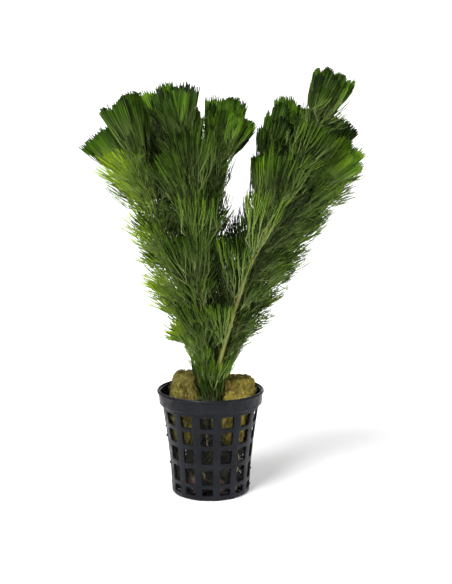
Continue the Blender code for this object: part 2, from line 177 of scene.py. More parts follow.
# Net pot, as in the part's source
POT_HEIGHT = 52.8 * MM
RIM_RADIUS = 27.0 * MM
WALL_TOP_RADIUS = 24.5 * MM
BASE_RADIUS = 19.7 * MM
WALL_FLARE = 1.6
COLLAR_FOOT = 45.6 * MM
COLLAR_FOOT_RADIUS = 25.9 * MM
BEAD_HEIGHT = 1.8 * MM
RIB_COUNT = 14
RIB_DEGREES = 10.0
FIRST_RIB_DEGREES = -81.0
WINDOW_ROWS = ((2.6, 6.4), (8.4, 16.6), (19.2, 26.4), (28.8, 35.4), (37.6, 43.6))
BASE_SLOT_ROWS = ((7.0, 12.4), (14.0, 18.0))

# How far round the pot a window's rounded corner reaches, and in how many steps it is drawn
CORNER_DEGREES = 2.2
CORNER_STEPS = 4

SEED = 29


# Geometry trees


def add_node(tree, kind, **inputs):
    """A new node with some of its inputs set by name."""
    node = tree.nodes.new(kind)
    for name, value in inputs.items():
        node.inputs[name.replace("_", " ")].default_value = value
    return node


def wire(tree, *links):
    """Joins nodes. Each link is a node and its output, and another node and its input."""
    for source, output, target, socket in links:
        tree.links.new(source.outputs[output], target.inputs[socket])


def new_tree(name, sockets):
    """A geometry tree with a geometry in and out, and further inputs of name: (kind, default)."""
    tree = bpy.data.node_groups.new(name, "GeometryNodeTree")
    tree.interface.new_socket("Geometry", in_out="INPUT", socket_type="NodeSocketGeometry")
    for socket_name, (kind, default) in sockets.items():
        socket = tree.interface.new_socket(socket_name, in_out="INPUT", socket_type=kind)
        if default is not None:
            socket.default_value = default
    tree.interface.new_socket("Geometry", in_out="OUTPUT", socket_type="NodeSocketGeometry")
    return tree, tree.nodes.new("NodeGroupInput"), tree.nodes.new("NodeGroupOutput")


def close_tree(tree, group_in, group_out, shape):
    """Ends a tree: instances made real, then the material."""
    real = tree.nodes.new("GeometryNodeRealizeInstances")
    painted = tree.nodes.new("GeometryNodeSetMaterial")
    tree.links.new(shape, real.inputs["Geometry"])
    wire(
        tree,
        (real, "Geometry", painted, "Geometry"),
        (group_in, "Material", painted, "Material"),
        (painted, "Geometry", group_out, "Geometry"),
    )


def grow(name, base, tree, values):
    """The plain mesh object that a tree makes from a base mesh, with its inputs set by name."""
    carrier = new_object(f"{name}_base", base)
    modifier = carrier.modifiers.new(tree.name, "NODES")
    modifier.node_group = tree
    for socket in tree.interface.items_tree:
        if socket.item_type == "SOCKET" and socket.in_out == "INPUT" and socket.name in values:
            modifier[socket.identifier] = values[socket.name]
    return plain(name, carrier)


def plain(name, carrier):
    """A new object with the evaluated mesh of another, which is then removed."""
    graph = bpy.context.evaluated_depsgraph_get()
    graph.update()
    mesh = bpy.data.meshes.new_from_object(
        carrier.evaluated_get(graph), preserve_all_data_layers=True, depsgraph=graph
    )
    old_mesh = carrier.data
    bpy.data.objects.remove(carrier)
    bpy.data.meshes.remove(old_mesh)
    mesh.name = name
    keep_one_material(mesh)
    return new_object(name, mesh)


def keep_one_material(mesh):
    """Drops the empty material slots that a geometry tree leaves behind."""
    used = [material for material in mesh.materials if material]
    mesh.materials.clear()
    for material in used[:1]:
        mesh.materials.append(material)
    mesh.polygons.foreach_set("material_index", np.zeros(len(mesh.polygons), np.int32))


def new_object(name, data):
    made = bpy.data.objects.new(name, data)
    bpy.context.scene.collection.objects.link(made)
    return made


def mesh_from(bm, name):
    """A new mesh from an edited one, which is then freed."""
    mesh = bpy.data.meshes.new(name)
    bm.to_mesh(mesh)
    bm.free()
    return mesh


def settle(piece, nodes=()):
    """Makes a finished piece ride on the plant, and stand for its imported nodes."""
    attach(piece, "root")
    if nodes:
        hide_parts(*nodes)


def thread_tree():
    """Turns lines of edges into closed threads, as thick as their radius attribute, and adds the webs."""
    if "Threads" in bpy.data.node_groups:
        return bpy.data.node_groups["Threads"]
    sockets = {
        "Sides": ("NodeSocketInt", 3),
        "Webs": ("NodeSocketObject", None),
        "Material": ("NodeSocketMaterial", None),
    }
    tree, group_in, group_out = new_tree("Threads", sockets)
    curve = tree.nodes.new("GeometryNodeMeshToCurve")
    profile = add_node(tree, "GeometryNodeCurvePrimitiveCircle", Radius=1.0)
    radius = add_node(tree, "GeometryNodeInputNamedAttribute", Name="radius")
    swept = add_node(tree, "GeometryNodeCurveToMesh", Fill_Caps=True)
    webs = tree.nodes.new("GeometryNodeObjectInfo")
    both = tree.nodes.new("GeometryNodeJoinGeometry")
    smooth = add_node(tree, "GeometryNodeSetShadeSmooth")
    wire(
        tree,
        (group_in, "Geometry", curve, "Mesh"),
        (group_in, "Sides", profile, "Resolution"),
        (group_in, "Webs", webs, "Object"),
        (curve, "Curve", swept, "Curve"),
        (profile, "Curve", swept, "Profile Curve"),
        (radius, "Attribute", swept, "Scale"),
        (webs, "Geometry", both, "Geometry"),
        (swept, "Mesh", both, "Geometry"),
        (both, "Geometry", smooth, "Geometry"),
    )
    close_tree(tree, group_in, group_out, smooth.outputs["Geometry"])
    return tree


def ring_tree():
    """Sets copies of one sector in a ring and joins them into one wall."""
    sockets = {
        "Sectors": ("NodeSocketInt", RIB_COUNT),
        "Merge Distance": ("NodeSocketFloat", 0.00002),
        "Material": ("NodeSocketMaterial", None),
    }
    tree, group_in, group_out = new_tree("Ring of sectors", sockets)
    centres = add_node(tree, "GeometryNodeMeshLine", Offset=(0.0, 0.0, 0.0))
    index = tree.nodes.new("GeometryNodeInputIndex")
    turn = tree.nodes.new("ShaderNodeMath")
    turn.operation = "DIVIDE"
    turn.inputs[0].default_value = 2 * math.pi
    angle = tree.nodes.new("ShaderNodeMath")
    angle.operation = "MULTIPLY"
    around = tree.nodes.new("ShaderNodeCombineXYZ")
    copies = tree.nodes.new("GeometryNodeInstanceOnPoints")
    real = tree.nodes.new("GeometryNodeRealizeInstances")
    merged = tree.nodes.new("GeometryNodeMergeByDistance")
    wire(
        tree,
        (group_in, "Sectors", centres, "Count"),
        (group_in, "Sectors", turn, 1),
        (index, "Index", angle, 0),
        (turn, "Value", angle, 1),
        (angle, "Value", around, "Z"),
        (centres, "Mesh", copies, "Points"),
        (group_in, "Geometry", copies, "Instance"),
        (around, "Vector", copies, "Rotation"),
        (copies, "Instances", real, "Geometry"),
        (real, "Geometry", merged, "Geometry"),
        (group_in, "Merge Distance", merged, "Distance"),
    )
    close_tree(tree, group_in, group_out, merged.outputs["Geometry"])
    return tree


def scatter_tree(name, keep_base):
    """Scatters copies of one small shape over a surface, each turned and sized at random."""
    sockets = {
        "Shape": ("NodeSocketObject", None),
        "Per Square Metre": ("NodeSocketFloat", 100000.0),
        "Smallest": ("NodeSocketFloat", 0.6),
        "Largest": ("NodeSocketFloat", 1.3),
        "Seed": ("NodeSocketInt", SEED),
        "Material": ("NodeSocketMaterial", None),
    }
    tree, group_in, group_out = new_tree(name, sockets)
    spots = tree.nodes.new("GeometryNodeDistributePointsOnFaces")
    shape = tree.nodes.new("GeometryNodeObjectInfo")
    spin = tree.nodes.new("FunctionNodeRandomValue")
    spin.data_type = "FLOAT_VECTOR"
    spin.inputs["Min"].default_value = (-0.5, -0.5, 0.0)
    spin.inputs["Max"].default_value = (0.5, 0.5, 2 * math.pi)
    turned = tree.nodes.new("FunctionNodeRotateRotation")
    turned.rotation_space = "LOCAL"
    size = tree.nodes.new("FunctionNodeRandomValue")
    size.data_type = "FLOAT"
    copies = tree.nodes.new("GeometryNodeInstanceOnPoints")
    wire(
        tree,
        (group_in, "Geometry", spots, "Mesh"),
        (group_in, "Per Square Metre", spots, "Density"),
        (group_in, "Seed", spots, "Seed"),
        (group_in, "Seed", spin, "Seed"),
        (group_in, "Smallest", size, 2),
        (group_in, "Largest", size, 3),
        (group_in, "Shape", shape, "Object"),
        (spots, "Points", copies, "Points"),
        (shape, "Geometry", copies, "Instance"),
        (spots, "Rotation", turned, "Rotation"),
        (spin, "Value", turned, "Rotate By"),
        (turned, "Rotation", copies, "Rotation"),
        (size, "Value", copies, "Scale"),
    )
    if not keep_base:
        close_tree(tree, group_in, group_out, copies.outputs["Instances"])
        return tree
    both = tree.nodes.new("GeometryNodeJoinGeometry")
    tree.links.new(copies.outputs["Instances"], both.inputs["Geometry"])
    tree.links.new(group_in.outputs["Geometry"], both.inputs["Geometry"])
    close_tree(tree, group_in, group_out, both.outputs["Geometry"])
    return tree


# Materials


def grey(value):
    return (value, value, value)


def new_material(name, roughness):
    """A material with a plain Principled shader: the material, its tree and the shader."""
    material = bpy.data.materials.new(name)
    material.use_nodes = True
    shader = material.node_tree.nodes["Principled BSDF"]
    shader.inputs["Roughness"].default_value = roughness
    return material, material.node_tree, shader


def object_noise(tree, scale, detail=3.0, stretch=None):
    """A noise over the object's own coordinates, with its places in metres."""
    place = tree.nodes.new("ShaderNodeTexCoord")
    grain = add_node(tree, "ShaderNodeTexNoise", Scale=scale, Detail=detail)
    source = place.outputs["Object"]
    if stretch:
        mapping = add_node(tree, "ShaderNodeMapping", Scale=stretch)
        tree.links.new(source, mapping.inputs["Vector"])
        source = mapping.outputs["Vector"]
    tree.links.new(source, grain.inputs["Vector"])
    return grain


def colour_ramp(tree, source, stops):
    """Colours at places from 0 to 1."""
    ramp = tree.nodes.new("ShaderNodeValToRGB")
    elements = ramp.color_ramp.elements
    while len(elements) < len(stops):
        elements.new(0.5)
    for element, (place, colour) in zip(elements, stops):
        element.position = place
        element.color = (*colour, 1.0)
    tree.links.new(source, ramp.inputs["Fac"])
    return ramp


def colour_mix(tree, share, first, second, blend="MIX"):
    """One colour over another. Each input is a socket or a plain value."""
    mix = tree.nodes.new("ShaderNodeMix")
    mix.data_type = "RGBA"
    mix.blend_type = blend
    for socket, value in ((mix.inputs[0], share), (mix.inputs[6], first), (mix.inputs[7], second)):
        if isinstance(value, bpy.types.NodeSocket):
            tree.links.new(value, socket)
        elif isinstance(value, (int, float)):
            socket.default_value = value
        else:
            socket.default_value = (*value, 1.0)
    return mix.outputs[2]


def add_range(tree, source, low, high):
    """A value brought from the range low to high onto 0 to 1."""
    node = add_node(tree, "ShaderNodeMapRange", **{"From Min": low, "From Max": high})
    tree.links.new(source, node.inputs["Value"])
    return node.outputs["Result"]


def bumped(tree, shader, source, strength, distance):
    bump = add_node(tree, "ShaderNodeBump", Strength=strength, Distance=distance)
    tree.links.new(source, bump.inputs["Height"])
    tree.links.new(bump.outputs["Normal"], shader.inputs["Normal"])


# What a leaf's green is multiplied by: in its darker and lighter patches, and at its very end
LEAF_PATCHES = ((0.62, 0.66, 0.62), (1.36, 1.32, 1.36))
LEAF_END_SHADE = (0.5, 0.54, 0.5)

# The olive brown that blushes the stems, and what the left and right wool blocks' colour is multiplied by
STEM_BLUSH = (0.17, 0.16, 0.05)
WOOL_SIDES = ((0.74, 0.76, 0.8), (1.2, 1.15, 1.1))


def leaf_material(settings):
    """Thin wet leaf tissue, pale at its stalk, dark at its tips; its tone sets its green, painted light and
    shade.
    """
    material, tree, shader = new_material("leaf_tissue", 0.5)
    tone = tree.nodes.new("ShaderNodeAttribute")
    tone.attribute_name = "tone"
    along = tree.nodes.new("ShaderNodeAttribute")
    along.attribute_name = "along"
    # The dark green is painted shade, and the yellow-green painted light shining through the leaf
    stops = (
        (0.0, settings.dark_green),
        (0.32, settings.mid_green),
        (0.95, settings.painted_backlight_green),
    )
    green = colour_ramp(tree, tone.outputs["Fac"], stops)
    patches = object_noise(tree, 130.0)
    patchy = colour_mix(tree, patches.outputs["Fac"], LEAF_PATCHES[0], LEAF_PATCHES[1])
    varied = colour_mix(tree, 1.0, green.outputs["Color"], patchy, "MULTIPLY")
    stalk_share = colour_ramp(tree, along.outputs["Fac"], ((0.4, grey(1.0)), (0.85, grey(0.0))))
    paled = colour_mix(tree, stalk_share.outputs["Color"], varied, settings.stalk_green)
    # Painted shade: low tones darken the whole leaf, stalk included, and high ones brighten it a little
    shade = colour_ramp(tree, tone.outputs["Fac"], ((0.03, grey(0.14)), (0.36, grey(1.15))))
    shaded = colour_mix(tree, 1.0, paled, shade.outputs["Color"], "MULTIPLY")
    ends = colour_ramp(tree, along.outputs["Fac"], ((0.86, grey(1.0)), (1.0, LEAF_END_SHADE)))
    final = colour_mix(tree, 1.0, shaded, ends.outputs["Color"], "MULTIPLY")
    tree.links.new(final, shader.inputs["Base Color"])
    shader.inputs["Specular IOR Level"].default_value = 0.1
    lit_through = tree.nodes.new("ShaderNodeBsdfTranslucent")
    tree.links.new(final, lit_through.inputs["Color"])
    both = add_node(tree, "ShaderNodeMixShader", Fac=settings.light_through)
    output = tree.nodes["Material Output"]
    wire(
        tree,
        (shader, "BSDF", both, 1),
        (lit_through, "BSDF", both, 2),
        (both, "Shader", output, "Surface"),
    )
    return material


def stem_material(settings):
    """Smooth olive stem with fine lengthwise streaks."""
    material, tree, shader = new_material("stem_skin", 0.38)
    streaks = object_noise(tree, 900.0, 2.0, (1.0, 1.0, 0.08))
    dark = tuple(0.72 * part for part in settings.stem_green)
    base = colour_ramp(tree, streaks.outputs["Fac"], ((0.3, dark), (0.7, settings.stem_green)))
    blush = object_noise(tree, 55.0)
    share = colour_ramp(tree, blush.outputs["Fac"], ((0.45, grey(0.0)), (0.7, grey(0.5))))
    colour = colour_mix(tree, share.outputs["Color"], base.outputs["Color"], STEM_BLUSH)
    tree.links.new(colour, shader.inputs["Base Color"])
    bumped(tree, shader, streaks.outputs["Fac"], 0.25, 0.0001)
    return material


def pot_material(settings):
    """Dark moulded plastic, damp, with a fine orange-peel grain and duller and shinier patches."""
    material, tree, shader = new_material("pot_plastic", settings.roughness)
    cloud = object_noise(tree, 90.0)
    dull = tuple(1.6 * part + 0.003 for part in settings.colour)
    shader.inputs["Specular IOR Level"].default_value = 0.12
    colour = colour_ramp(tree, cloud.outputs["Fac"], ((0.35, settings.colour), (0.75, dull)))
    tree.links.new(colour.outputs["Color"], shader.inputs["Base Color"])
    wet = object_noise(tree, 240.0, 4.0)
    low, high = settings.roughness * 0.55, settings.roughness * 1.3
    gloss = colour_ramp(tree, wet.outputs["Fac"], ((0.38, grey(low)), (0.6, grey(high))))
    tree.links.new(gloss.outputs["Color"], shader.inputs["Roughness"])
    grain = object_noise(tree, 1500.0, 2.0)
    bumped(tree, shader, grain.outputs["Fac"], 0.35, 0.00012)
    return material


def wool_material(settings):
    """Olive-yellow mineral fibre with browner damp spots."""
    material, tree, shader = new_material("rock_wool", 0.92)
    spots = object_noise(tree, 210.0, 5.0)
    pale = tuple(1.5 * part for part in settings.colour)
    stops = ((0.3, settings.spot), (0.46, settings.colour), (0.74, pale))
    colour = colour_ramp(tree, spots.outputs["Fac"], stops)
    fibre = object_noise(tree, 1300.0, 3.0, (1.0, 0.4, 0.5))
    shade = colour_mix(tree, fibre.outputs["Fac"], (0.45, 0.43, 0.36), (1.55, 1.55, 1.5))
    varied = colour_mix(tree, 1.0, colour.outputs["Color"], shade, "MULTIPLY")
    place = tree.nodes.new("ShaderNodeSeparateXYZ")
    tree.links.new(tree.nodes.new("ShaderNodeTexCoord").outputs["Object"], place.inputs["Vector"])
    across = add_range(tree, place.outputs["X"], -10 * MM, 10 * MM)
    side = colour_ramp(tree, across, ((0.0, WOOL_SIDES[0]), (1.0, WOOL_SIDES[1])))
    final = colour_mix(tree, 1.0, varied, side.outputs["Color"], "MULTIPLY")
    tree.links.new(final, shader.inputs["Base Color"])
    shader.inputs["Specular IOR Level"].default_value = 0.2
    bumped(tree, shader, fibre.outputs["Fac"], 0.8, 0.0004)
    return material


def clay_material(settings):
    """Rough baked clay, browner and pinker in turn."""
    material, tree, shader = new_material("baked_clay", 0.85)
    crust = object_noise(tree, 420.0, 5.0)
    pale = tuple(1.9 * part for part in settings.clay)
    colour = colour_ramp(tree, crust.outputs["Fac"], ((0.35, settings.clay), (0.7, pale)))
    tree.links.new(colour.outputs["Color"], shader.inputs["Base Color"])
    bumped(tree, shader, crust.outputs["Fac"], 0.9, 0.0006)
    return material


def root_material(name, root_colour):
    """Roots, browner in places."""
    material, tree, shader = new_material(name, 0.6)
    stain = object_noise(tree, 260.0)
    brown = tuple(0.35 * part for part in root_colour)
    colour = colour_ramp(tree, stain.outputs["Fac"], ((0.35, brown), (0.62, root_colour)))
    tree.links.new(colour.outputs["Color"], shader.inputs["Base Color"])
    return material


# Lines that the threads follow


class Lines:
    """Many separate lines: their points and, for each point, a radius, a tone and a place along the leaf."""

    def __init__(self):
        self.points = []
        self.radii = []
        self.tones = []
        self.alongs = []

    def add(self, points, radii, tones, alongs):
        """Adds lines of equal length: arrays of (line, point, xyz), and of (line, point) for the rest."""
        shape = points.shape[:2]
        self.points.append(points)
        self.radii.append(np.broadcast_to(radii, shape))
        self.tones.append(np.broadcast_to(tones, shape))
        self.alongs.append(np.broadcast_to(alongs, shape))

    def mesh(self, name):
        """A mesh of edges only, with the values as attributes of its points."""
        points = np.concatenate([part.reshape(-1, 3) for part in self.points])
        edges = []
        start = 0
        for part in self.points:
            lines, length = part.shape[:2]
            index = start + np.arange(lines * length).reshape(lines, length)
            edges.append(np.stack([index[:, :-1], index[:, 1:]], axis=-1).reshape(-1, 2))
            start += lines * length
        edges = np.concatenate(edges)
        mesh = bpy.data.meshes.new(name)
        mesh.vertices.add(len(points))
        mesh.vertices.foreach_set("co", points.astype(np.float32).ravel())
        mesh.edges.add(len(edges))
        mesh.edges.foreach_set("vertices", edges.astype(np.int32).ravel())
        for label, parts in (("radius", self.radii), ("tone", self.tones), ("along", self.alongs)):
            values = np.concatenate([np.asarray(part, np.float32).ravel() for part in parts])
            attribute = mesh.attributes.new(label, "FLOAT", "POINT")
            attribute.data.foreach_set("value", values)
        mesh.update()
        return mesh


class Webs:
    """Thin closed plates between the threads of clinging leaves, with a tone and a place along the leaf."""

    def __init__(self):
        self.points = []
        self.faces = []
        self.tones = []
        self.alongs = []

    def add(self, front, back, tones, alongs):
        """Adds a plate between two grids of points of (column, row, xyz), and closes its edge."""
        columns, rows = front.shape[:2]
        size = columns * rows
        above = sum(len(part) for part in self.points)
        index = above + np.arange(size).reshape(columns, rows)
        quads = np.stack([index[:-1, :-1], index[1:, :-1], index[1:, 1:], index[:-1, 1:]], -1).reshape(-1, 4)
        round_edge = np.concatenate([index[:-1, 0], index[-1, :-1], index[:0:-1, -1], index[0, :0:-1]])
        after = np.roll(round_edge, -1)
        edge = np.stack([after, round_edge, round_edge + size, after + size], -1)
        self.points.append(np.concatenate([front.reshape(-1, 3), back.reshape(-1, 3)]))
        self.faces.append(np.concatenate([quads, quads[:, ::-1] + size, edge]))
        for values, store in ((tones, self.tones), (alongs, self.alongs)):
            store.append(np.tile(np.broadcast_to(values, (columns, rows)).ravel(), 2))

    def mesh(self, name):
        mesh = bpy.data.meshes.new(name)
        if self.points:
            mesh.from_pydata(np.concatenate(self.points).tolist(), [], np.concatenate(self.faces).tolist())
        for label, parts in (("tone", self.tones), ("along", self.alongs)):
            attribute = mesh.attributes.new(label, "FLOAT", "POINT")
            if parts:
                attribute.data.foreach_set("value", np.concatenate(parts).astype(np.float32))
        mesh.set_sharp_from_angle(angle=math.radians(60))
        return mesh


class Route:
    """A stem's smooth route, sampled finely."""

    def __init__(self, points):
        samples = 241
        knots = np.array(points, float) * MM
        spans = len(knots) - 1
        place = np.minimum(np.linspace(0.0, 1.0, samples), 0.99999) * spans
        start = place.astype(int)
        t = (place - start)[:, None]
        before = knots[np.maximum(start - 1, 0)]
        first, second = knots[start], knots[start + 1]
        after = knots[np.minimum(start + 2, spans)]
        slope_in, slope_out = (second - before) / 2, (after - first) / 2
        self.points = (
            first * (2 * t**3 - 3 * t**2 + 1)
            + slope_in * (t**3 - 2 * t**2 + t)
            + second * (3 * t**2 - 2 * t**3)
            + slope_out * (t**3 - t**2)
        )
        self.shares = np.linspace(0.0, 1.0, samples)
        ways = np.gradient(self.points, axis=0)
        self.ways = ways / np.linalg.norm(ways, axis=1, keepdims=True)

    def at_share(self, share):
        """Point and direction at a share of the route."""
        point = [np.interp(share, self.shares, self.points[:, axis]) for axis in range(3)]
        way = [np.interp(share, self.shares, self.ways[:, axis]) for axis in range(3)]
        return np.array(point), unit(np.array(way))

    def share_at_height(self, height):
        return float(np.interp(height, self.points[:, 2], self.shares))

    def radius(self, share):
        return STEM_FOOT_RADIUS + (STEM_TIP_RADIUS - STEM_FOOT_RADIUS) * share


ROUTES = {shoot: Route(points) for shoot, points in STEM_ROUTES.items()}


def unit(vector):
    return vector / max(np.linalg.norm(vector), 1e-12)


def turned_about(vector, axis, angle):
    """A vector turned about a unit axis."""
    return (
        vector * math.cos(angle)
        + np.cross(axis, vector) * math.sin(angle)
        + axis * np.dot(axis, vector) * (1 - math.cos(angle))
    )


class Leaf:
    """The dished, twisted surface of one leaf, from its foot on the stem to its tip."""

    def __init__(self, foot, tip, stem_way, width, twist):
        self.foot, self.tip, self.stem_way = foot, tip, stem_way
        self.width, self.twist = width, twist
        reach = tip - foot
        self.outward = unit(reach - stem_way * np.dot(reach, stem_way))
        length = np.linalg.norm(reach)
        bend = foot + stem_way * length * RISE_SHARE + self.outward * length * SPREAD_SHARE
        shares = np.linspace(0.0, 1.0, 25)
        self.shares = shares
        t = shares[:, None]
        self.centres = foot * (1 - t) ** 2 + bend * 2 * t * (1 - t) + tip * t**2
        ways = (bend - foot) * (1 - t) + (tip - bend) * t
        self.ways = ways / np.linalg.norm(ways, axis=1, keepdims=True)
        faces = []
        for way, share in zip(self.ways, shares):
            face = unit(self.outward - way * np.dot(self.outward, way))
            faces.append(turned_about(face, way, twist * min(1.0, share / TWIST_END_SHARE)))
        self.faces = np.array(faces)
        self.sides = np.cross(self.ways, self.faces)

    def places(self, share, across, lift):
        """Points on the leaf. across runs from -1 to 1 over its width, and lift is a height above it."""
        shape = np.shape(share)
        flat = np.ravel(share)

        def sampled(values):
            columns = [np.interp(flat, self.shares, values[:, axis]) for axis in range(3)]
            return np.stack(columns, axis=-1).reshape(*shape, 3)

        sideways = np.asarray(across)[..., None]
        sunk = DISH_SHARE * self.width * sideways**2
        rise = np.asarray(lift)[..., None] - sunk
        from_middle = sampled(self.sides) * sideways * self.width / 2
        return sampled(self.centres) + from_middle + sampled(self.faces) * rise


def node_points(name):
    """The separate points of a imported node's mesh."""
    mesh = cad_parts[name].data
    places = np.empty(len(mesh.vertices) * 3)
    mesh.vertices.foreach_get("co", places)
    return np.unique(np.round(places.reshape(-1, 3), 6), axis=0)


def packed_leaf(name, route):
    """A leaf's foot, tip, width and twist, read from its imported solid."""
    points = node_points(name)
    gaps = np.linalg.norm(points[:, None] - route.points[None], axis=2)
    foot = points[np.argsort(gaps.min(axis=1))[:4]].mean(axis=0)
    nearest = np.linalg.norm(route.points - foot, axis=1).argmin()
    stem_way = route.ways[nearest]
    middle_of_stem = route.points[nearest]
    foot = middle_of_stem + unit(foot - middle_of_stem) * route.radius(route.shares[nearest]) * FOOT_DEPTH
    reach = np.linalg.norm(points - foot, axis=1)
    far = points[reach > 0.8 * reach.max()]
    spans = np.linalg.norm(far[:, None] - far[None], axis=2)
    first, second = np.unravel_index(spans.argmax(), spans.shape)
    one_edge, other_edge = far[first], far[second]
    width = spans.max() * 1.03
    middle = (one_edge + other_edge) / 2
    side = unit(one_edge - other_edge)
    off_middle = np.abs((far - middle) @ side)
    tip = far[off_middle < 0.22 * width].mean(axis=0)
    plain_leaf = Leaf(foot, tip, stem_way, width, 0.0)
    way = plain_leaf.ways[-1]
    side = unit(side - way * np.dot(side, way))
    face = np.cross(side, way)
    if np.dot(middle - tip, face) > 0:
        face = -face
    start = plain_leaf.faces[-1]
    twist = math.atan2(np.dot(np.cross(start, face), way), np.dot(start, face))
    if abs(twist) > math.pi / 2:
        twist -= math.copysign(math.pi, twist)
    return Leaf(foot, tip, stem_way, width, twist), route.shares[nearest]


def opened(share):
    """How far a leaf has opened at a share of its length: quickly past its stalk, then more slowly."""
    return np.clip((np.asarray(share) - FORKS[0] + 0.02) / (1.02 - FORKS[0]), 0.0, 1.0) ** 0.8


def fork_edges(rng, primaries):
    """The bounds across the leaf, from -1 to 1, of each thread's share of it, after each fork."""
    weights = rng.uniform(0.7, 1.3, primaries)
    edges = np.concatenate([[0.0], np.cumsum(weights)]) / weights.sum() * 2 - 1
    levels = [edges]
    for _ in FORKS[1:]:
        halves = edges[:-1] + np.diff(edges) * rng.uniform(0.38, 0.62, len(edges) - 1)
        edges = np.sort(np.concatenate([edges, halves]))
        levels.append(edges)
    return levels


def tuft_numbers(rng, tips, clings, two_lobed):
    """Which tuft each thread ends in: two to four broad ones where threads cling, else many small ones."""
    if two_lobed:
        cuts = np.array([tips * 9 // 20])
    elif clings:
        cuts = np.sort(rng.choice(np.arange(5, tips - 4), rng.integers(1, 4), replace=False))
    else:
        cuts = np.cumsum(rng.integers(2, 5, tips // 2))
    return np.searchsorted(cuts, np.arange(tips), side="right")


def tuft_shape(ends, numbers):
    """For each thread, the middle of its tuft and its place in it from -1 to 1."""
    middles = np.empty_like(ends)
    places = np.empty_like(ends)
    for number in np.unique(numbers):
        mine = numbers == number
        middles[mine] = ends[mine].mean()
        reach = np.abs(ends[mine] - ends[mine].mean()).max()
        places[mine] = (ends[mine] - ends[mine].mean()) / max(reach, 1e-6)
    return middles, places


def add_leaf(
    lines, webs, leaf, rng, primaries, cling, tone, looseness, roundness=0.07, evenness=0.5, two_lobed=False
):
    """Adds the forked threads of one leaf to the lines, and a clinging leaf's plates to the webs.

    cling is 1 on a wet leaf whose threads lie side by side up to blunt ends, and 0 on an open one whose
    threads draw together into points, unless evenness is near 1. roundness is how much shorter its edges
    are, and looseness how far its threads stray from its surface.
    """
    clings = cling > LEAST_CLING
    tone = max(tone, DARKEST_FAN if clings else 0.0)
    levels = fork_edges(rng, primaries)
    ends = (levels[-1][:-1] + levels[-1][1:]) / 2
    tips = len(ends)
    numbers = tuft_numbers(rng, tips, clings, two_lobed)
    middles, places = tuft_shape(ends, numbers)
    tufts = numbers.max() + 1
    drops = rng.uniform(0, TUFT_DROP[0] - TUFT_DROP[1] * cling, tufts)
    drops[numbers[tips // 2]] = 0.0
    lobe_depth = TWO_LOBE_DEPTH if two_lobed else LOBE_DEPTH
    tip_shares = 1.01 - roundness * middles**2 - drops[numbers] - lobe_depth * places**2
    tip_shares -= rng.uniform(0, TIP_DROP[0] - TIP_DROP[1] * cling, tips)
    drawn = middles + (ends - middles) * (0.94 if clings else evenness)
    tuft_tones = rng.normal(0, TUFT_TONE_SPREAD, tufts)
    share, across, lift = np.zeros(1), np.zeros(1), np.zeros(1)
    radius = np.full(1, THREAD_RADII[0])
    wander = (1 - cling) * 0.09 + 0.015
    for level in range(len(FORKS) + 1):
        last = level == len(FORKS)
        edges = levels[level - 1] if level else np.array([-1.0, 1.0])
        centres = (edges[:-1] + edges[1:]) / 2
        branches = len(centres)
        parent = np.arange(branches) * len(across) // branches
        spread = looseness * (0.15 + 0.3 * level) * (1 - 0.7 * cling)
        end_lift = lift[parent] + rng.normal(0, spread, branches)
        if last:
            end_share, end_across = tip_shares, drawn * opened(tip_shares)
            end_radius = np.full(branches, BLUNT_TIP_RADIUS if clings else OPEN_TIP_RADIUS)
            steps = np.array([0.0, 0.55, 1.0])
            tones = tone + tuft_tones[numbers]
        else:
            reach = 1 - roundness * centres**2
            end_share = FORKS[0] + (FORKS[level] - FORKS[0]) * (reach - FORKS[0]) / (1 - FORKS[0])
            end_across = centres * opened(FORKS[level])
            if level:
                end_share = end_share + rng.normal(0, 0.025, branches)
                end_across = end_across + rng.normal(0, wander, branches)
            end_radius = np.full(branches, THREAD_RADII[level + 1])
            steps = np.array([0.0, 1.0]) if level else np.array([0.0, 0.5, 1.0])
            tones = np.full(branches, tone)

        def between(start, end):
            return start[parent][:, None] + (end - start[parent])[:, None] * steps

        path = between(across, end_across)
        shares = between(share, end_share)
        if last:
            natural = ends * opened(1 - (1 - shares[:, 1]) * (1 - 0.6 * roundness))
            path[:, 1] = 0.3 * path[:, 1] + 0.7 * natural
        tones = np.clip(tones + rng.normal(0, THREAD_TONE_SPREAD, branches), 0, 1)[:, None]
        points = leaf.places(shares, path, between(lift, end_lift))
        lines.add(points, between(radius, end_radius), tones, shares)
        share, across, lift, radius = end_share, end_across, end_lift, end_radius
    if clings:
        for number in range(tufts):
            mine = numbers == number
            tuft_tone = tone + tuft_tones[number]
            add_web(webs, leaf, rng, ends[mine], tip_shares[mine], tuft_tone, lift[mine].mean())


def add_web(webs, leaf, rng, ends, tip_shares, tone, tip_lift):
    """A thin ridged plate that joins the threads of one broad tuft nearly up to their tips."""
    half_steps = np.arange(2 * len(ends) - 1) / 2
    columns = np.interp(half_steps, np.arange(len(ends)), ends)
    rims = np.interp(half_steps, np.arange(len(ends)), tip_shares)
    on_thread = 1.0 - (np.arange(len(columns)) % 2)
    rims -= 0.004 + (1 - on_thread) * rng.uniform(0.008, 0.045, len(columns))
    rows = np.linspace(0, 1, 6)
    start = WEB_START + rng.uniform(-0.06, 0.04)
    shares = start + (rims[:, None] - start) * rows
    gathered = 0.6 + 0.34 * np.minimum(rows / 0.6, 1.0)
    middle = columns.mean()
    across = (middle + (columns - middle)[:, None] * gathered) * opened(shares)
    ridge = WEB_RIDGE * on_thread[:, None]
    lift = np.broadcast_to(tip_lift * rows, shares.shape)
    tones = np.clip(tone + rng.normal(0, TUFT_TONE_SPREAD, len(columns)), 0, 1)[:, None]
    front = leaf.places(shares, across, lift + ridge + WEB_HALF_THICKNESS)
    back = leaf.places(shares, across, lift - ridge - WEB_HALF_THICKNESS)
    webs.add(front, back, tones, shares)


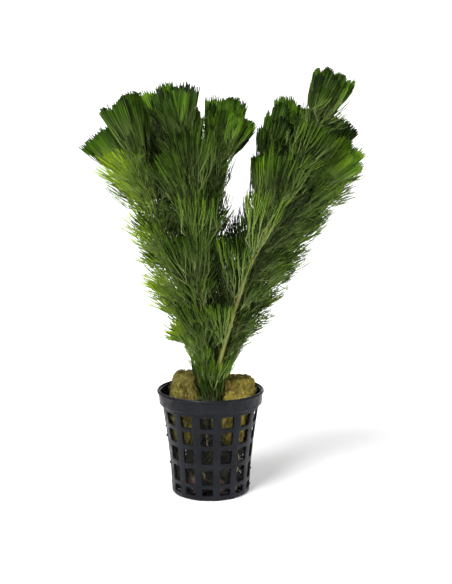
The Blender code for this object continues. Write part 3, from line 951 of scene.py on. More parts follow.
def bunch_middle(shoot, height):
    """The middle, from above, of the stems that stand together with a shoot at a height."""
    side = shoot.split("_")[0] if height > SIDES_PART else ""
    near = [route for name, route in ROUTES.items() if name.startswith(side)]
    return np.mean([route.at_share(route.share_at_height(height))[0][:2] for route in near], axis=0)


def leaf_tone_and_shade(shoot, leaf):
    """A leaf's tone: dark at its top, with painted shade inside the bunch and painted light outside it."""
    low = float(np.clip((DARK_TOPS - leaf.tip[2]) / TONE_BLEND, 0, 1))
    # Painted shade on leaves that face into the bunch, less of it near the top, and painted light on those
    # facing out
    least = INNER_SHARE + 0.5 * float(np.clip((leaf.tip[2] - INNER_PALER) / TONE_BLEND, 0, 1))
    away = unit(leaf.foot[:2] - bunch_middle(shoot, leaf.foot[2]))
    outside = (1 + float(np.dot(unit(leaf.outward[:2]), away))) / 2
    yellow = TOP_TONE + (SHOOT_YELLOW_AND_BACKLIGHT[shoot] - TOP_TONE) * low
    return yellow * (least + (1.05 - least) * outside**1.5)


def companion(leaf, route, share, rng, spread, inside):
    """A leaf's neighbour from its whorl or the next one: about spread degrees round, and further inside."""
    foot_share = float(np.clip(share + rng.normal(0, 0.02), 0.0, 1.0))
    centre, way = route.at_share(foot_share)
    reach = turned_about(leaf.tip - leaf.foot, way, math.radians(rng.normal(0, spread)))
    outward = unit(reach - way * np.dot(reach, way))
    foot = centre + outward * route.radius(foot_share) * FOOT_DEPTH
    size = rng.uniform(0.82, 1.0)
    tip = foot + reach * size - leaf.outward * inside + rng.normal(0, 0.8 * MM, 3)
    over = np.dot(tip - leaf.tip, way)
    if over > 0:
        tip = tip - way * over
    width = leaf.width * rng.uniform(0.7, 1.0)
    return Leaf(foot, tip, way, width, leaf.twist + math.radians(rng.normal(0, 16)))


def small_leaf(route, height_share, compass, length, lean, width, rng):
    """A leaf that grows from the stem at a share of it, leaning away towards a compass angle."""
    centre, way = route.at_share(height_share)
    level = np.array([math.cos(compass), math.sin(compass), 0.0])
    outward = unit(level - way * np.dot(level, way))
    foot = centre + outward * route.radius(height_share) * FOOT_DEPTH
    tip = foot + length * (way * math.cos(lean) + outward * math.sin(lean))
    hand = 1 if outward[0] * outward[1] > 0 else -1
    return Leaf(foot, tip, way, width, hand * math.radians(rng.uniform(0, 55)))


def add_small_leaves(lines, webs, shoot, route, rng, settings):
    """Whorls of small leaves up the whole of a stem, upright and close where the wool holds the bunch."""
    share = route.share_at_height(settings.lowest_leaf)
    turn = rng.uniform(-0.4, 0.4)
    inward = 1 if shoot.startswith("left") else -1
    while share < 0.97:
        height = float(np.interp(share, route.shares, route.points[:, 2]))
        free = float(np.clip((height - FREE_FROM) / FREE_OVER, 0, 1))
        length = (17 + 6 * free + rng.normal(0, 1.5)) * MM
        for leaf_number in range(3):
            compass = turn + leaf_number * 2 * math.pi / 3 + rng.normal(0, 0.25)
            sideways = abs(math.cos(compass))
            if shoot == "right_front" and BARE_STEM[0] < height < BARE_STEM[1] and math.sin(compass) < -0.3:
                continue
            widest = 32 + 34 * (1 - sideways)
            if height > GAP_FOOT and math.cos(compass) * inward > 0.2:
                widest = 12
            lean = math.radians(rng.uniform(5, 22) * (1 - free) + rng.uniform(0.6 * widest, widest) * free)
            width = length * (0.6 + 0.5 * free) * rng.uniform(0.85, 1.15)
            leaf = small_leaf(route, share, compass, length, lean, width, rng)
            # Painted shade: free small leaves, which lie behind the packed ones, lose a share of their tone,
            # and those below the wool's top are darkened too
            in_pot = float(np.clip((WOOL_TOP - height) / SHADED_OVER, 0, 1))
            tone = leaf_tone_and_shade(shoot, leaf) * (1 - 0.35 * free)
            if shoot.endswith("inner"):
                tone = max(tone, 0.17)
            tone = tone * (1 - 0.7 * in_pot) + rng.normal(0, 0.05)
            add_leaf(lines, webs, leaf, rng, 5, 0.0, tone, settings.looseness, 0.07 + 0.18 * free, 0.95)
        turn += math.pi / 3 * rng.uniform(0.8, 1.2)
        closeness = BACK_CLOSENESS if shoot in BACK_SHOOTS else 1.0
        share += settings.leaf_step * closeness * (0.6 + 0.4 * free) * rng.uniform(0.8, 1.2)


def shoot_leaves(shoot, settings):
    """All the threads and webs of one shoot's leaves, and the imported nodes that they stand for."""
    rng = np.random.default_rng(SEED + list(STEM_ROUTES).index(shoot))
    route = ROUTES[shoot]
    names = sorted(
        (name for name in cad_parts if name.startswith(f"leaf_{shoot}_")),
        key=lambda name: int(name.rsplit("_", 1)[1]),
    )
    lines = Lines()
    webs = Webs()
    for name in names:
        leaf, share = packed_leaf(name, route)
        cling = float(np.clip((leaf.tip[2] - settings.open_height) / settings.cling_range, 0.0, 1.0))
        if leaf.tip[1] < FRONT_LEAVES_OPEN:
            cling = 0.0
        tone = leaf_tone_and_shade(shoot, leaf) + rng.normal(0, 0.06)
        two_lobed = name == TWO_LOBED_LEAF
        if two_lobed:
            tone = TWO_LOBED_TONE
        shape = {"looseness": settings.looseness, "two_lobed": two_lobed}
        add_leaf(lines, webs, leaf, rng, settings.primaries, cling, tone, **shape)
        companions = settings.companions
        if leaf.outward[1] < -0.5 and leaf.tip[2] < FORKS_SHOW_BELOW:
            companions = 1 if shoot == "right_front" else 2
        for number in range(companions):
            depth = (1 - cling) * (number + 1) / companions
            spread = NEIGHBOUR_DEGREES[0] + NEIGHBOUR_DEGREES[1] * depth
            beside = companion(leaf, route, share, rng, spread, NEIGHBOUR_INSIDE * depth)
            # Painted shade: deeper neighbours lose more of their tone
            shade = INNER_NEIGHBOUR_SHADE if "inner" in shoot else NEIGHBOUR_SHADE
            own_tone = (tone - 0.03 + rng.normal(0, 0.07)) * (1 - shade * depth)
            add_leaf(lines, webs, beside, rng, settings.primaries, cling, own_tone, **shape)
    add_small_leaves(lines, webs, shoot, route, rng, settings)
    return lines, webs, names


# Sizes and colours to change


class PotSettings(bpy.types.PropertyGroup):
    colour: FloatVectorProperty(
        name="Colour", description="Plastic of the net pot", subtype="COLOR", size=3, min=0, max=1,
        default=(0.0035, 0.004, 0.006),
    )
    roughness: FloatProperty(
        name="Roughness", description="Dullness of the dry plastic", default=0.36, min=0, max=1,
        subtype="FACTOR",
    )
    thickness: FloatProperty(
        name="Wall thickness", description="Thickness of ribs, wall and rim", default=1.2 * MM, min=0.5 * MM,
        max=2 * MM, unit="LENGTH",
    )
    edge: FloatProperty(
        name="Edge rounding", description="Radius of the moulded edges", default=0.22 * MM, min=0.05 * MM,
        max=0.5 * MM, unit="LENGTH",
    )
    corner: FloatProperty(
        name="Window corner", description="Radius of the windows' corners", default=0.9 * MM, min=0.2 * MM,
        max=1.5 * MM, unit="LENGTH",
    )


class WoolSettings(bpy.types.PropertyGroup):
    colour: FloatVectorProperty(
        name="Colour", description="Damp rock wool", subtype="COLOR", size=3, min=0, max=1,
        default=(0.152, 0.13, 0.027),
    )
    spot: FloatVectorProperty(
        name="Spots", description="Browner spots on the rock wool", subtype="COLOR", size=3, min=0, max=1,
        default=(0.06, 0.04, 0.009),
    )
    clay: FloatVectorProperty(
        name="Clay", description="Baked clay on the pot's floor", subtype="COLOR", size=3, min=0, max=1,
        default=(0.13, 0.075, 0.06),
    )
    lump: FloatProperty(
        name="Lumps", description="Height of the wool's lumps", default=0.9 * MM, min=0, max=2 * MM,
        unit="LENGTH",
    )
    fibre_density: FloatProperty(
        name="Fibres", description="Loose fibres for each square metre", default=900000.0, min=0, max=3000000
    )
    fibre_length: FloatProperty(
        name="Fibre length", description="Length of a loose fibre", default=2.6 * MM, min=0.5 * MM,
        max=6 * MM, unit="LENGTH",
    )


class FoliageSettings(bpy.types.PropertyGroup):
    dark_green: FloatVectorProperty(
        name="Dark green", description="Shaded leaves", subtype="COLOR", size=3, min=0, max=1,
        default=(0.018, 0.05, 0.003),
    )
    mid_green: FloatVectorProperty(
        name="Mid green", description="Most leaves", subtype="COLOR", size=3, min=0, max=1,
        default=(0.096, 0.205, 0.011),
    )
    # Painted light: the yellow-green of light shining through the leaves along the outer edges
    painted_backlight_green: FloatVectorProperty(
        name="Yellow-green", description="Leaves along the outer edges", subtype="COLOR", size=3, min=0,
        max=1, default=(0.41, 0.56, 0.022),
    )
    stalk_green: FloatVectorProperty(
        name="Stalks", description="Paler stalks and first forks of the leaves", subtype="COLOR", size=3,
        min=0, max=1, default=(0.25, 0.335, 0.10),
    )
    stem_green: FloatVectorProperty(
        name="Stem", description="Olive stem skin", subtype="COLOR", size=3, min=0, max=1,
        default=(0.155, 0.165, 0.024),
    )
    root: FloatVectorProperty(
        name="Roots", description="Pale roots", subtype="COLOR", size=3, min=0, max=1,
        default=(0.4, 0.33, 0.2),
    )
    # Dark fine roots, whose colour also paints the shade inside the pot and between the wool blocks
    fine_root_and_shade: FloatVectorProperty(
        name="Fine roots", description="Dark fine roots under the wool", subtype="COLOR", size=3, min=0,
        max=1, default=(0.035, 0.036, 0.02),
    )
    light_through: FloatProperty(
        name="Light through", description="Share of light that passes through a leaf", default=0.32,
        min=0, max=1, subtype="FACTOR",
    )
    primaries: IntProperty(
        name="First branches", description="Branches at a leaf's first fork", default=6, min=3, max=9
    )
    companions: IntProperty(
        name="Neighbours", description="Leaves that cling to each packed leaf", default=4, min=0, max=6
    )
    looseness: FloatProperty(
        name="Looseness", description="How far threads stray from the leaf's surface", default=0.8 * MM,
        min=0, max=3 * MM, unit="LENGTH",
    )
    open_height: FloatProperty(
        name="Open below", description="Leaf tips below this height stand open", default=0.160, min=0,
        max=0.3, unit="LENGTH",
    )
    cling_range: FloatProperty(
        name="Cling over", description="Height over which the leaves start to cling", default=0.025,
        min=0.001, max=0.2, unit="LENGTH",
    )
    front_stem_swell: FloatProperty(
        name="Front stem", description="How much thicker the front stem is than the others", default=1.14,
        min=1, max=1.5,
    )
    lowest_leaf: FloatProperty(
        name="Lowest leaves", description="Height of the lowest small leaves", default=0.044, min=0, max=0.2,
        unit="LENGTH",
    )
    leaf_step: FloatProperty(
        name="Leaf spacing", description="Share of a stem between two whorls of small leaves", default=0.032,
        min=0.01, max=0.5,
    )


class StageSettings(bpy.types.PropertyGroup):
    floor: FloatVectorProperty(
        name="Floor", description="Pale floor and backdrop", subtype="COLOR", size=3, min=0, max=1,
        default=(0.93, 0.93, 0.93),
    )
    key_power: FloatProperty(
        name="Key light", description="Main soft light in watts", default=15.0, min=0, max=100
    )
    fill_power: FloatProperty(
        name="Fill light", description="Second soft light in watts", default=7.0, min=0, max=100
    )
    back_power: FloatProperty(
        name="Backdrop light", description="Light on the backdrop in watts", default=25.0, min=0, max=200
    )
    sky: FloatProperty(
        name="Sky", description="Brightness of the backdrop's side", default=0.0458, min=0, max=5
    )
    sky_behind_camera: FloatProperty(
        name="Sky behind camera", description="Brightness of the camera's side", default=0.0137, min=0, max=5
    )
    sky_seen: FloatProperty(
        name="Sky in view", description="Brightness beyond the floor's edge", default=1.0, min=0, max=5
    )


# Operators, one for each piece or group of like pieces

# Pale sheet behind the plant, in metres: where it starts in front, where it starts to curve up and how
# tightly, its top, and half its width
FLOOR_FRONT = -0.62
CURVE_START = 1.0
CURVE_RADIUS = 0.8
CURVE_STEPS = 12
BACKDROP_TOP = 4.0
BACKDROP_HALF_WIDTH = 0.8

# The photograph's camera: its place in metres, how far it looks down, and its lens in millimetres
CAMERA_PLACE = (0.0078, -0.5117, 0.1770)
CAMERA_DOWN_DEGREES = 8.35
LENS = 63.95
SENSOR_WIDTH = 36.0


class CABOMBA_OT_stage(bpy.types.Operator):
    """Pale floor that curves up into a backdrop, soft lights and sky, and the photograph's camera"""

    bl_idname = "cabomba.make_stage"
    bl_label = "Stage"

    def execute(self, context):
        settings = context.scene.cabomba_stage
        add_floor(settings)
        context.scene.world = soft_sky(settings)
        lights = (
            ("key", (-0.35, -0.45, 0.75), (0.0, 0.0, 0.1), settings.key_power, 0.5),
            ("fill", (0.6, -0.5, 0.35), (0.0, 0.0, 0.1), settings.fill_power, 0.6),
            ("backdrop_light", (0.0, 0.5, 1.0), (0.0, 1.6, 0.4), settings.back_power, 1.2),
        )
        for name, place, aim, power, size in lights:
            light = bpy.data.lights.new(name, "AREA")
            light.energy = power
            light.size = size
            lamp = new_object(name, light)
            lamp.location = place
            lamp.rotation_mode = "QUATERNION"
            lamp.rotation_quaternion = (Vector(aim) - lamp.location).to_track_quat("-Z", "Y")
        view = bpy.data.cameras.new("photo_view")
        view.sensor_width = SENSOR_WIDTH
        view.lens = LENS
        camera = new_object("photo_view", view)
        camera.location = CAMERA_PLACE
        camera.rotation_euler = (math.radians(90 - CAMERA_DOWN_DEGREES), 0.0, 0.0)
        context.scene.camera = camera
        context.scene.view_settings.view_transform = "Standard"
        return {"FINISHED"}


def add_floor(settings):
    """The pale sheet that the pot stands on, curved up behind it."""
    profile = [(FLOOR_FRONT, 0.0), (CURVE_START, 0.0)]
    for step in range(1, CURVE_STEPS + 1):
        angle = math.radians(90 * step / CURVE_STEPS)
        place = CURVE_START + CURVE_RADIUS * math.sin(angle), CURVE_RADIUS - CURVE_RADIUS * math.cos(angle)
        profile.append(place)
    profile.append((CURVE_START + CURVE_RADIUS, BACKDROP_TOP))
    bm = bmesh.new()
    edges = (-BACKDROP_HALF_WIDTH, BACKDROP_HALF_WIDTH)
    rows = [[bm.verts.new((x, y, z)) for x in edges] for y, z in profile]
    for low, high in zip(rows, rows[1:]):
        bm.faces.new((low[0], low[1], high[1], high[0]))
    mesh = mesh_from(bm, "floor")
    mesh.shade_smooth()
    material, _, shader = new_material("floor_paint", 0.8)
    shader.inputs["Base Color"].default_value = (*settings.floor, 1.0)
    mesh.materials.append(material)
    new_object("floor", mesh)


def soft_sky(settings):
    """A sky that is dimmer behind the camera, and bright wherever the camera looks straight at it."""
    world = bpy.data.worlds.new("soft_sky")
    world.use_nodes = True
    sky = world.node_tree
    background = sky.nodes["Background"]
    background.inputs["Color"].default_value = (1.0, 1.0, 1.0, 1.0)
    way = sky.nodes.new("ShaderNodeTexCoord")
    parts = sky.nodes.new("ShaderNodeSeparateXYZ")
    ends = {"From Min": -1.0, "To Min": settings.sky_behind_camera, "To Max": settings.sky}
    strength = add_node(sky, "ShaderNodeMapRange", **ends)
    sky.links.new(way.outputs["Generated"], parts.inputs["Vector"])
    sky.links.new(parts.outputs["Y"], strength.inputs["Value"])
    path = sky.nodes.new("ShaderNodeLightPath")
    seen = add_node(sky, "ShaderNodeMapRange", **{"To Max": settings.sky_seen})
    sky.links.new(path.outputs["Is Camera Ray"], seen.inputs["Value"])
    brighter = sky.nodes.new("ShaderNodeMath")
    brighter.operation = "MAXIMUM"
    sky.links.new(strength.outputs["Result"], brighter.inputs[0])
    sky.links.new(seen.outputs["Result"], brighter.inputs[1])
    sky.links.new(brighter.outputs["Value"], background.inputs["Strength"])
    return world


class CABOMBA_OT_pot(bpy.types.Operator):
    """Net pot: one sector of collar, wall and floor, set round in a ring and given its thickness"""

    bl_idname = "cabomba.make_pot"
    bl_label = "Net pot"

    def execute(self, context):
        settings = context.scene.cabomba_pot
        material = pot_material(settings)
        values = {"Material": material, "Sectors": RIB_COUNT}
        pot = grow("pot", pot_sector(settings), ring_tree(), values)
        merge_and_point_out(pot.data)
        wall = pot.modifiers.new("wall", "SOLIDIFY")
        wall.thickness = settings.thickness
        wall.offset = -1.0
        wall.use_even_offset = True
        edges = pot.modifiers.new("edges", "BEVEL")
        edges.width = settings.edge
        edges.segments = 2
        edges.limit_method = "ANGLE"
        edges.angle_limit = math.radians(40)
        pot = plain("pot", pot)
        pot.data.shade_smooth()
        pot.data.set_sharp_from_angle(angle=math.radians(35))
        add_mould_marks(pot.data)
        settle(pot, ["net_pot"])
        return {"FINISHED"}


# Moulded nubs on the pot: degrees from its front, then height, radius and how far each one stands out, in
# millimetres. The first four are on the collar and the others on the wall.
NUBS = (
    (-46, 48.6, 0.6, 0.35), (-14.4, 47.4, 0.6, 0.35), (27.6, 47.6, 0.65, 0.35), (41.6, 48.8, 0.6, 0.35),
    (-88, 28.6, 0.8, 0.7), (-84, 34.0, 0.5, 0.4), (-90, 14.3, 0.8, 0.6), (86, 11.6, 0.6, 0.5),
    (84, 3.6, 0.7, 0.5), (-31, 25.0, 0.5, 0.3), (150, 31.0, 0.6, 0.5), (205, 17.0, 0.6, 0.5),
)

# Raised marks on the collar: degrees from the pot's front, then height and how far they stand out
TAB = (4.7, 51.2 * MM, 0.55 * MM)
TAB_HALF_WIDTH = 3.0
TAB_DROP = 2.2
GATE = (-2.7, 47.5 * MM, 0.22 * MM)
GATE_RADIUS = 1.25


def add_mould_marks(mesh):
    """Adds a half-round tab under the rim, a round gate mark below it and small nubs to the pot's mesh."""
    bm = bmesh.new()
    bm.from_mesh(mesh)
    for degrees, height, radius, out in NUBS:
        add_nub(bm, degrees, height * MM, radius * MM, out * MM)
    half_turn = np.linspace(0, math.pi, 13)
    tab = [(TAB_HALF_WIDTH * math.cos(turn), -TAB_DROP * math.sin(turn)) for turn in half_turn]
    add_plate(bm, *TAB, tab)
    full_turn = np.linspace(0, 2 * math.pi, 19)[:-1]
    gate = [(GATE_RADIUS * math.cos(turn), GATE_RADIUS * math.sin(turn)) for turn in full_turn]
    add_plate(bm, *GATE, gate)
    bm.to_mesh(mesh)
    bm.free()


def on_wall(degrees, height, out):
    """A point outside the pot's wall or collar, at degrees from its front."""
    if height > COLLAR_FOOT:
        radii = (COLLAR_FOOT_RADIUS, RIM_RADIUS - 0.6 * MM)
        radius = float(np.interp(height, (COLLAR_FOOT, POT_HEIGHT), radii))
    else:
        radius = wall_radius(height)
    angle = math.radians(degrees - 90)
    return Vector(((radius + out) * math.cos(angle), (radius + out) * math.sin(angle), height))


def add_nub(bm, degrees, height, radius, out):
    """A small dome on the wall, sunk into it up to its middle."""
    made = bmesh.ops.create_icosphere(bm, subdivisions=2, radius=1.0)
    angle = math.radians(degrees - 90)
    frame_out = Matrix((
        (math.cos(angle), -math.sin(angle), 0), (math.sin(angle), math.cos(angle), 0), (0, 0, 1)
    ))
    shape = frame_out @ Matrix.Diagonal((out, radius, radius))
    centre = on_wall(degrees, height, 0.0)
    for vertex in made["verts"]:
        vertex.co = centre + shape @ vertex.co
        for face in vertex.link_faces:
            face.smooth = True


def add_plate(bm, degrees, height, out, outline):
    """A thin raised plate on the collar. The outline is in millimetres across and up from its place."""

    def place(across, up, off):
        turn = degrees + math.degrees(across * MM / RIM_RADIUS)
        return on_wall(turn, height + up * MM, off)

    front = [bm.verts.new(place(across, up, out)) for across, up in outline]
    back = [bm.verts.new(place(across * 1.06, up * 1.06, -0.5 * MM)) for across, up in outline]
    faces = [bm.faces.new(front), bm.faces.new(back[::-1])]
    for index in range(len(front)):
        beside = (index + 1) % len(front)
        faces.append(bm.faces.new((front[index], back[index], back[beside], front[beside])))
    bmesh.ops.recalc_face_normals(bm, faces=faces)


def merge_and_point_out(mesh):
    """Joins doubled points and makes an open wall's faces look away from the plant's axis."""
    bm = bmesh.new()
    bm.from_mesh(mesh)
    bmesh.ops.remove_doubles(bm, verts=bm.verts, dist=0.00002)
    bmesh.ops.recalc_face_normals(bm, faces=bm.faces)
    bm.faces.ensure_lookup_table()
    outer = max(bm.faces, key=lambda face: face.calc_center_median().to_2d().length)
    if outer.normal.dot(outer.calc_center_median()) < 0:
        bmesh.ops.reverse_faces(bm, faces=bm.faces)
    bm.to_mesh(mesh)
    bm.free()


def wall_radius(height):
    return BASE_RADIUS + (WALL_TOP_RADIUS - BASE_RADIUS) * (height / COLLAR_FOOT) ** WALL_FLARE


def pot_sector(settings):
    """One rib's share of the pot as an open sheet, from the floor's middle to the rim, with its windows."""
    floor = [(0.4 * MM, 0.0), (BASE_RADIUS - 0.8 * MM, 0.0), (BASE_RADIUS - 0.25 * MM, 0.25 * MM)]
    heights = np.linspace(0.8 * MM, COLLAR_FOOT, 40)
    wall = [(wall_radius(height), height) for height in heights]
    ledge = [
        (COLLAR_FOOT_RADIUS - 0.3 * MM, COLLAR_FOOT + 0.1 * MM),
        (COLLAR_FOOT_RADIUS, COLLAR_FOOT + 0.4 * MM),
    ]
    bead_foot = POT_HEIGHT - BEAD_HEIGHT
    bead = [
        (RIM_RADIUS - 0.6 * MM, bead_foot),
        (RIM_RADIUS - 0.1 * MM, bead_foot + 0.35 * MM),
        (RIM_RADIUS, bead_foot + 0.8 * MM),
        (RIM_RADIUS - 0.05 * MM, POT_HEIGHT - 0.5 * MM),
        (RIM_RADIUS - 0.4 * MM, POT_HEIGHT - 0.1 * MM),
        (RIM_RADIUS - 0.9 * MM, POT_HEIGHT),
    ]
    path = np.array([*floor, *wall, *ledge, *bead])
    lengths = np.concatenate([[0], np.cumsum(np.linalg.norm(np.diff(path, axis=0), axis=1))])

    def on_floor(radius):
        return float(radius - floor[0][0])

    def on_wall(height):
        return float(np.interp(height, path[3:-8, 1], lengths[3:-8]))

    holes = [(on_floor(low * MM), on_floor(high * MM)) for low, high in BASE_SLOT_ROWS]
    holes += [(on_wall(low * MM), on_wall(high * MM)) for low, high in WINDOW_ROWS]
    cuts = [holes[0][0] - 1.2 * MM]
    cuts += [(first[1] + second[0]) / 2 for first, second in zip(holes, holes[1:])]
    cuts.append(on_wall(COLLAR_FOOT) - 0.8 * MM)
    pitch = 360.0 / RIB_COUNT
    half_hole = (pitch - RIB_DEGREES) / 2
    half_straight = half_hole - CORNER_DEGREES
    straight = np.linspace(-half_straight, half_straight, 5)
    turns = [math.radians(90 * step / CORNER_STEPS) for step in range(CORNER_STEPS + 1)]
    rounding = [half_hole - CORNER_DEGREES * (1 - math.sin(turn)) for turn in turns]
    bm = bmesh.new()

    def vertex(degrees, distance):
        """A point of the sheet, at degrees from the sector's middle and a distance along the outline."""
        radius, height = (np.interp(distance, lengths, path[:, column]) for column in (0, 1))
        angle = math.radians(FIRST_RIB_DEGREES + pitch / 2 + degrees)
        return bm.verts.new((radius * math.cos(angle), radius * math.sin(angle), height))

    def face(*corners):
        bm.faces.new([vertex(*corner) for corner in corners])

    for (hole_low, hole_high), low, high in zip(holes, cuts, cuts[1:]):
        corner = min(settings.corner, 0.45 * (hole_high - hole_low))
        arc = [(near, corner * (1 - math.cos(turn))) for near, turn in zip(rounding, turns)]
        for hand in (-1, 1):
            edge = hand * pitch / 2
            rib = hand * (half_hole + pitch / 2) / 2
            side_levels = [low, hole_low + corner, hole_high - corner, high]
            for bottom, top in zip(side_levels, side_levels[1:]):
                pieces = 3 if top - bottom > 2 * MM else 1
                levels = np.linspace(bottom, top, pieces + 1)
                for lower, upper in zip(levels, levels[1:]):
                    face((edge, lower), (rib, lower), (rib, upper), (edge, upper))
                    face((rib, lower), (hand * half_hole, lower), (hand * half_hole, upper), (rib, upper))
            for (near, drop), (next_near, next_drop) in zip(arc, arc[1:]):
                for boundary, level, sign in ((high, hole_high, -1), (low, hole_low, 1)):
                    face(
                        (hand * near, boundary),
                        (hand * next_near, boundary),
                        (hand * next_near, level + sign * next_drop),
                        (hand * near, level + sign * drop),
                    )
        for boundary, level in ((high, hole_high), (low, hole_low)):
            for left, right in zip(straight, straight[1:]):
                face((left, boundary), (right, boundary), (right, level), (left, level))
    columns = [-pitch / 2, -(half_hole + pitch / 2) / 2, *[-near for near in reversed(rounding)]]
    columns += [*straight[1:-1], *[-column for column in reversed(columns)]]
    middle_levels = [0.0, cuts[0]]
    top_levels = [cuts[-1], *lengths[lengths > cuts[-1] + 0.1 * MM]]
    for levels in (middle_levels, top_levels):
        for low, high in zip(levels, levels[1:]):
            for left, right in zip(columns, columns[1:]):
                face((left, low), (right, low), (right, high), (left, high))
    middle = bm.verts.new((0.0, 0.0, 0.0))
    for left, right in zip(columns, columns[1:]):
        bm.faces.new([middle, vertex(left, 0.0), vertex(right, 0.0)])
    bmesh.ops.remove_doubles(bm, verts=bm.verts, dist=0.00001)
    return mesh_from(bm, "pot_sector")


# How much lower the left and right wool blocks are in front of STEP_BACK, above STEP_FOOT
WOOL_STEPS = (1.5 * MM, 4 * MM)
STEP_BACK = -5 * MM
STEP_FOOT = 50 * MM

# Radius of a loose fibre
FIBRE_RADIUS = 0.09 * MM


class CABOMBA_OT_wool(bpy.types.Operator):
    """Two torn blocks of rock wool with loose fibres"""

    bl_idname = "cabomba.make_wool"
    bl_label = "Rock wool"

    def execute(self, context):
        settings = context.scene.cabomba_wool
        material = wool_material(settings)
        fibre = new_object("fibre_shape", fibre_mesh(settings.fibre_length))
        tree = scatter_tree("Loose fibres", True)
        for order, side in enumerate(("left", "right")):
            block = lumpy_copy(f"rock_wool_{side}", settings.lump, 10, 1.1, WOOL_STEPS[order])
            values = {
                "Shape": fibre,
                "Per Square Metre": settings.fibre_density,
                "Seed": SEED + order,
                "Material": material,
            }
            piece = grow(f"wool_{side}", block, tree, values)
            settle(piece, [f"rock_wool_{side}"])
        bpy.data.objects.remove(fibre)
        return {"FINISHED"}


def fibre_mesh(length):
    """A short bent fibre of three sides, lying along X."""
    bm = bmesh.new()
    rings = []
    for step in range(4):
        share = step / 3
        rise = 0.16 * length * math.sin(math.pi * share) - 0.04 * length
        centre = Vector((length * (share - 0.5), 0.0, rise))
        ring = []
        for corner in range(3):
            angle = 2 * math.pi * corner / 3
            out = Vector((0.0, math.cos(angle), math.sin(angle)))
            ring.append(bm.verts.new(centre + FIBRE_RADIUS * out))
        rings.append(ring)
    for low, high in zip(rings, rings[1:]):
        for corner in range(3):
            beside = (corner + 1) % 3
            bm.faces.new((low[corner], low[beside], high[beside], high[corner]))
    bm.faces.new(rings[0][::-1])
    bm.faces.new(rings[-1])
    bmesh.ops.recalc_face_normals(bm, faces=bm.faces)
    return mesh_from(bm, "fibre")


def lumpy_copy(node, lump, cuts=8, sink=1.0, step_drop=0.0):
    """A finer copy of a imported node's mesh, with torn lumps that sink in, and a lower step in front."""
    bm = bmesh.new()
    bm.from_mesh(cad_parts[node].data)
    bmesh.ops.remove_doubles(bm, verts=bm.verts, dist=0.00001)
    bmesh.ops.subdivide_edges(bm, edges=bm.edges, cuts=cuts, use_grid_fill=True, smooth=0.4)
    bmesh.ops.triangulate(bm, faces=bm.faces)
    bm.normal_update()
    for vertex in bm.verts:
        coarse = noise.noise(vertex.co / (4.5 * MM))
        torn = noise.turbulence(vertex.co / (2.4 * MM), 4, True, amplitude_scale=0.6)
        upright = Vector((vertex.co.x / (0.9 * MM), vertex.co.y / (0.9 * MM), vertex.co.z / (3.5 * MM)))
        bundle = noise.noise(upright) + 0.7 * noise.cell(upright)
        vertex.co += vertex.normal * lump * (0.6 * coarse + 0.5 * torn + 1.0 * bundle - sink)
        forward = min(max((STEP_BACK - vertex.co.y) / (2 * MM), 0.0), 1.0)
        high = min(max((vertex.co.z - STEP_FOOT) / (6 * MM), 0.0), 1.0)
        vertex.co.z -= step_drop * forward * high
    for face in bm.faces:
        face.smooth = True
    return mesh_from(bm, f"{node}_lumps")


class CABOMBA_OT_clay(bpy.types.Operator):
    """Baked clay lumps on the pot's floor"""

    bl_idname = "cabomba.make_clay"
    bl_label = "Clay lumps"

    def execute(self, context):
        settings = context.scene.cabomba_wool
        material = clay_material(settings)
        for node in ("clay_lump_large", "clay_lump_small"):
            mesh = lumpy_copy(node, 0.5 * MM, sink=0.6)
            mesh.materials.clear()
            mesh.materials.append(material)
            settle(new_object(node.replace("clay_lump", "clay"), mesh), [node])
        return {"FINISHED"}


class CABOMBA_OT_stems(bpy.types.Operator):
    """Eight stems, a little thicker at each node"""

    bl_idname = "cabomba.make_stems"
    bl_label = "Stems"

    def execute(self, context):
        settings = context.scene.cabomba_foliage
        material = stem_material(settings)
        for shoot, route in ROUTES.items():
            lines = Lines()
            shares = np.linspace(0.0, 1.0, 90)
            points = np.array([route.at_share(share)[0] for share in shares])
            swell = 1.0 + NODE_SWELL * np.maximum(0, np.cos(shares * 2 * math.pi / NODE_STEP)) ** 12
            if shoot == "right_front":
                swell = swell * settings.front_stem_swell
            radii = np.array([route.radius(share) for share in shares]) * swell
            lines.add(points[None], radii[None], 0.5, shares[None])
            values = {"Sides": 10, "Material": material}
            stem = grow(f"stalk_{shoot}", lines.mesh("route"), thread_tree(), values)
            settle(stem, [f"stem_{shoot}"])
        return {"FINISHED"}


class CABOMBA_OT_leaves(bpy.types.Operator):
    """The forked leaves of each shoot, in place of its packed fans"""

    bl_idname = "cabomba.make_leaves"
    bl_label = "Leaves"

    def execute(self, context):
        settings = context.scene.cabomba_foliage
        material = leaf_material(settings)
        for shoot in STEM_ROUTES:
            lines, webs, names = shoot_leaves(shoot, settings)
            plates = new_object("webs", webs.mesh("webs"))
            values = {"Sides": 3, "Webs": plates, "Material": material}
            piece = grow(f"foliage_{shoot}", lines.mesh("leaf_lines"), thread_tree(), values)
            plate_mesh = plates.data
            bpy.data.objects.remove(plates)
            bpy.data.meshes.remove(plate_mesh)
            settle(piece, names)
        return {"FINISHED"}


class CABOMBA_OT_roots(bpy.types.Operator):
    """Pale roots from the stem feet, and fine dark ones, partly painted shade, in a tangle down to the pot's
    floor
    """

    bl_idname = "cabomba.make_roots"
    bl_label = "Roots"

    def execute(self, context):
        settings = context.scene.cabomba_foliage
        for name, colour, count, radius, wander in (
            ("roots", settings.root, 4, 0.34 * MM, 0.5 * MM),
            # The fine roots' dark colour also stands in for the shade inside the pot and between the wool
            # blocks
            ("fine_roots", settings.fine_root_and_shade, 60, 0.2 * MM, 1.1 * MM),
        ):
            piece = grow(name, root_lines(count, radius, wander).mesh("root_lines"), thread_tree(), {
                "Sides": 4, "Material": root_material(name, colour),
            })
            settle(piece)
        return {"FINISHED"}


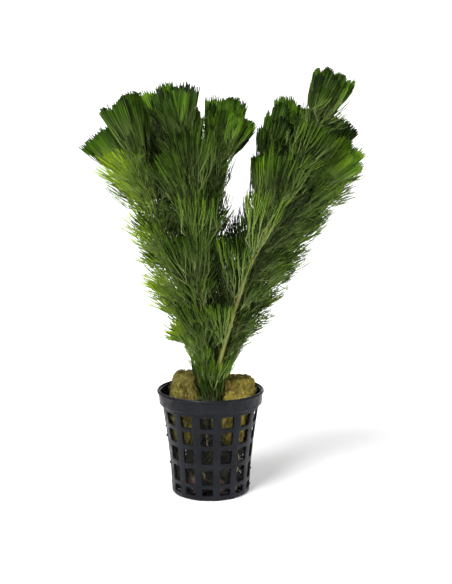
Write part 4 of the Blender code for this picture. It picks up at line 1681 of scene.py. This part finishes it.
def root_lines(count, radius, wander):
    """Roots that start at the stem feet and wander down to the floor, kept inside the wall."""
    rng = np.random.default_rng(SEED + count)
    lines = Lines()
    floor = 1.9 * MM
    for route in ROUTES.values():
        for _ in range(count):
            place = route.points[rng.integers(0, 45)] + rng.normal(0, 0.5 * MM, 3)
            drift = rng.normal(0, 1.6 * wander, 2)
            points = []
            while place[2] > floor and len(points) < 26:
                points.append(place.copy())
                drift = 0.85 * drift + rng.normal(0, wander, 2)
                place = place + np.array([*drift, -rng.uniform(0.6, 2.4) * MM])
                room = wall_radius(max(place[2], 0.0)) - 2.2 * MM
                flat = np.linalg.norm(place[:2])
                if flat > room:
                    place[:2] *= room / flat
                    drift *= -0.4
            if len(points) < 3:
                continue
            radii = np.linspace(radius, 0.5 * radius, len(points))
            lines.add(np.array(points)[None], radii[None], 0.5, 0.5)
    return lines


class CABOMBA_PT_panel(bpy.types.Panel):
    """Buttons for the pieces, in the order in which they are made"""

    bl_label = "Cabomba"
    bl_idname = "VIEW3D_PT_cabomba"
    bl_space_type = "VIEW_3D"
    bl_region_type = "UI"
    bl_category = "Cabomba"

    def draw(self, context):
        for operator in OPERATORS:
            self.layout.operator(operator.bl_idname)
        for group in GROUPS:
            settings = getattr(context.scene, group)
            for name in settings.bl_rna.properties.keys():
                if name not in ("name", "rna_type"):
                    self.layout.prop(settings, name)


OPERATORS = (
    CABOMBA_OT_stage,
    CABOMBA_OT_pot,
    CABOMBA_OT_wool,
    CABOMBA_OT_clay,
    CABOMBA_OT_roots,
    CABOMBA_OT_stems,
    CABOMBA_OT_leaves,
)
GROUPS = {
    "cabomba_pot": PotSettings,
    "cabomba_wool": WoolSettings,
    "cabomba_foliage": FoliageSettings,
    "cabomba_stage": StageSettings,
}


def register():
    for kind in (*GROUPS.values(), *OPERATORS, CABOMBA_PT_panel):
        bpy.utils.register_class(kind)
    for name, kind in GROUPS.items():
        setattr(bpy.types.Scene, name, PointerProperty(type=kind))


def unregister():
    for name in GROUPS:
        delattr(bpy.types.Scene, name)
    for kind in reversed((*GROUPS.values(), *OPERATORS, CABOMBA_PT_panel)):
        bpy.utils.unregister_class(kind)


def main():
    register()
    for operator in OPERATORS:
        group, action = operator.bl_idname.split(".")
        getattr(getattr(bpy.ops, group), action)()


if __name__ == "__main__":
    main()
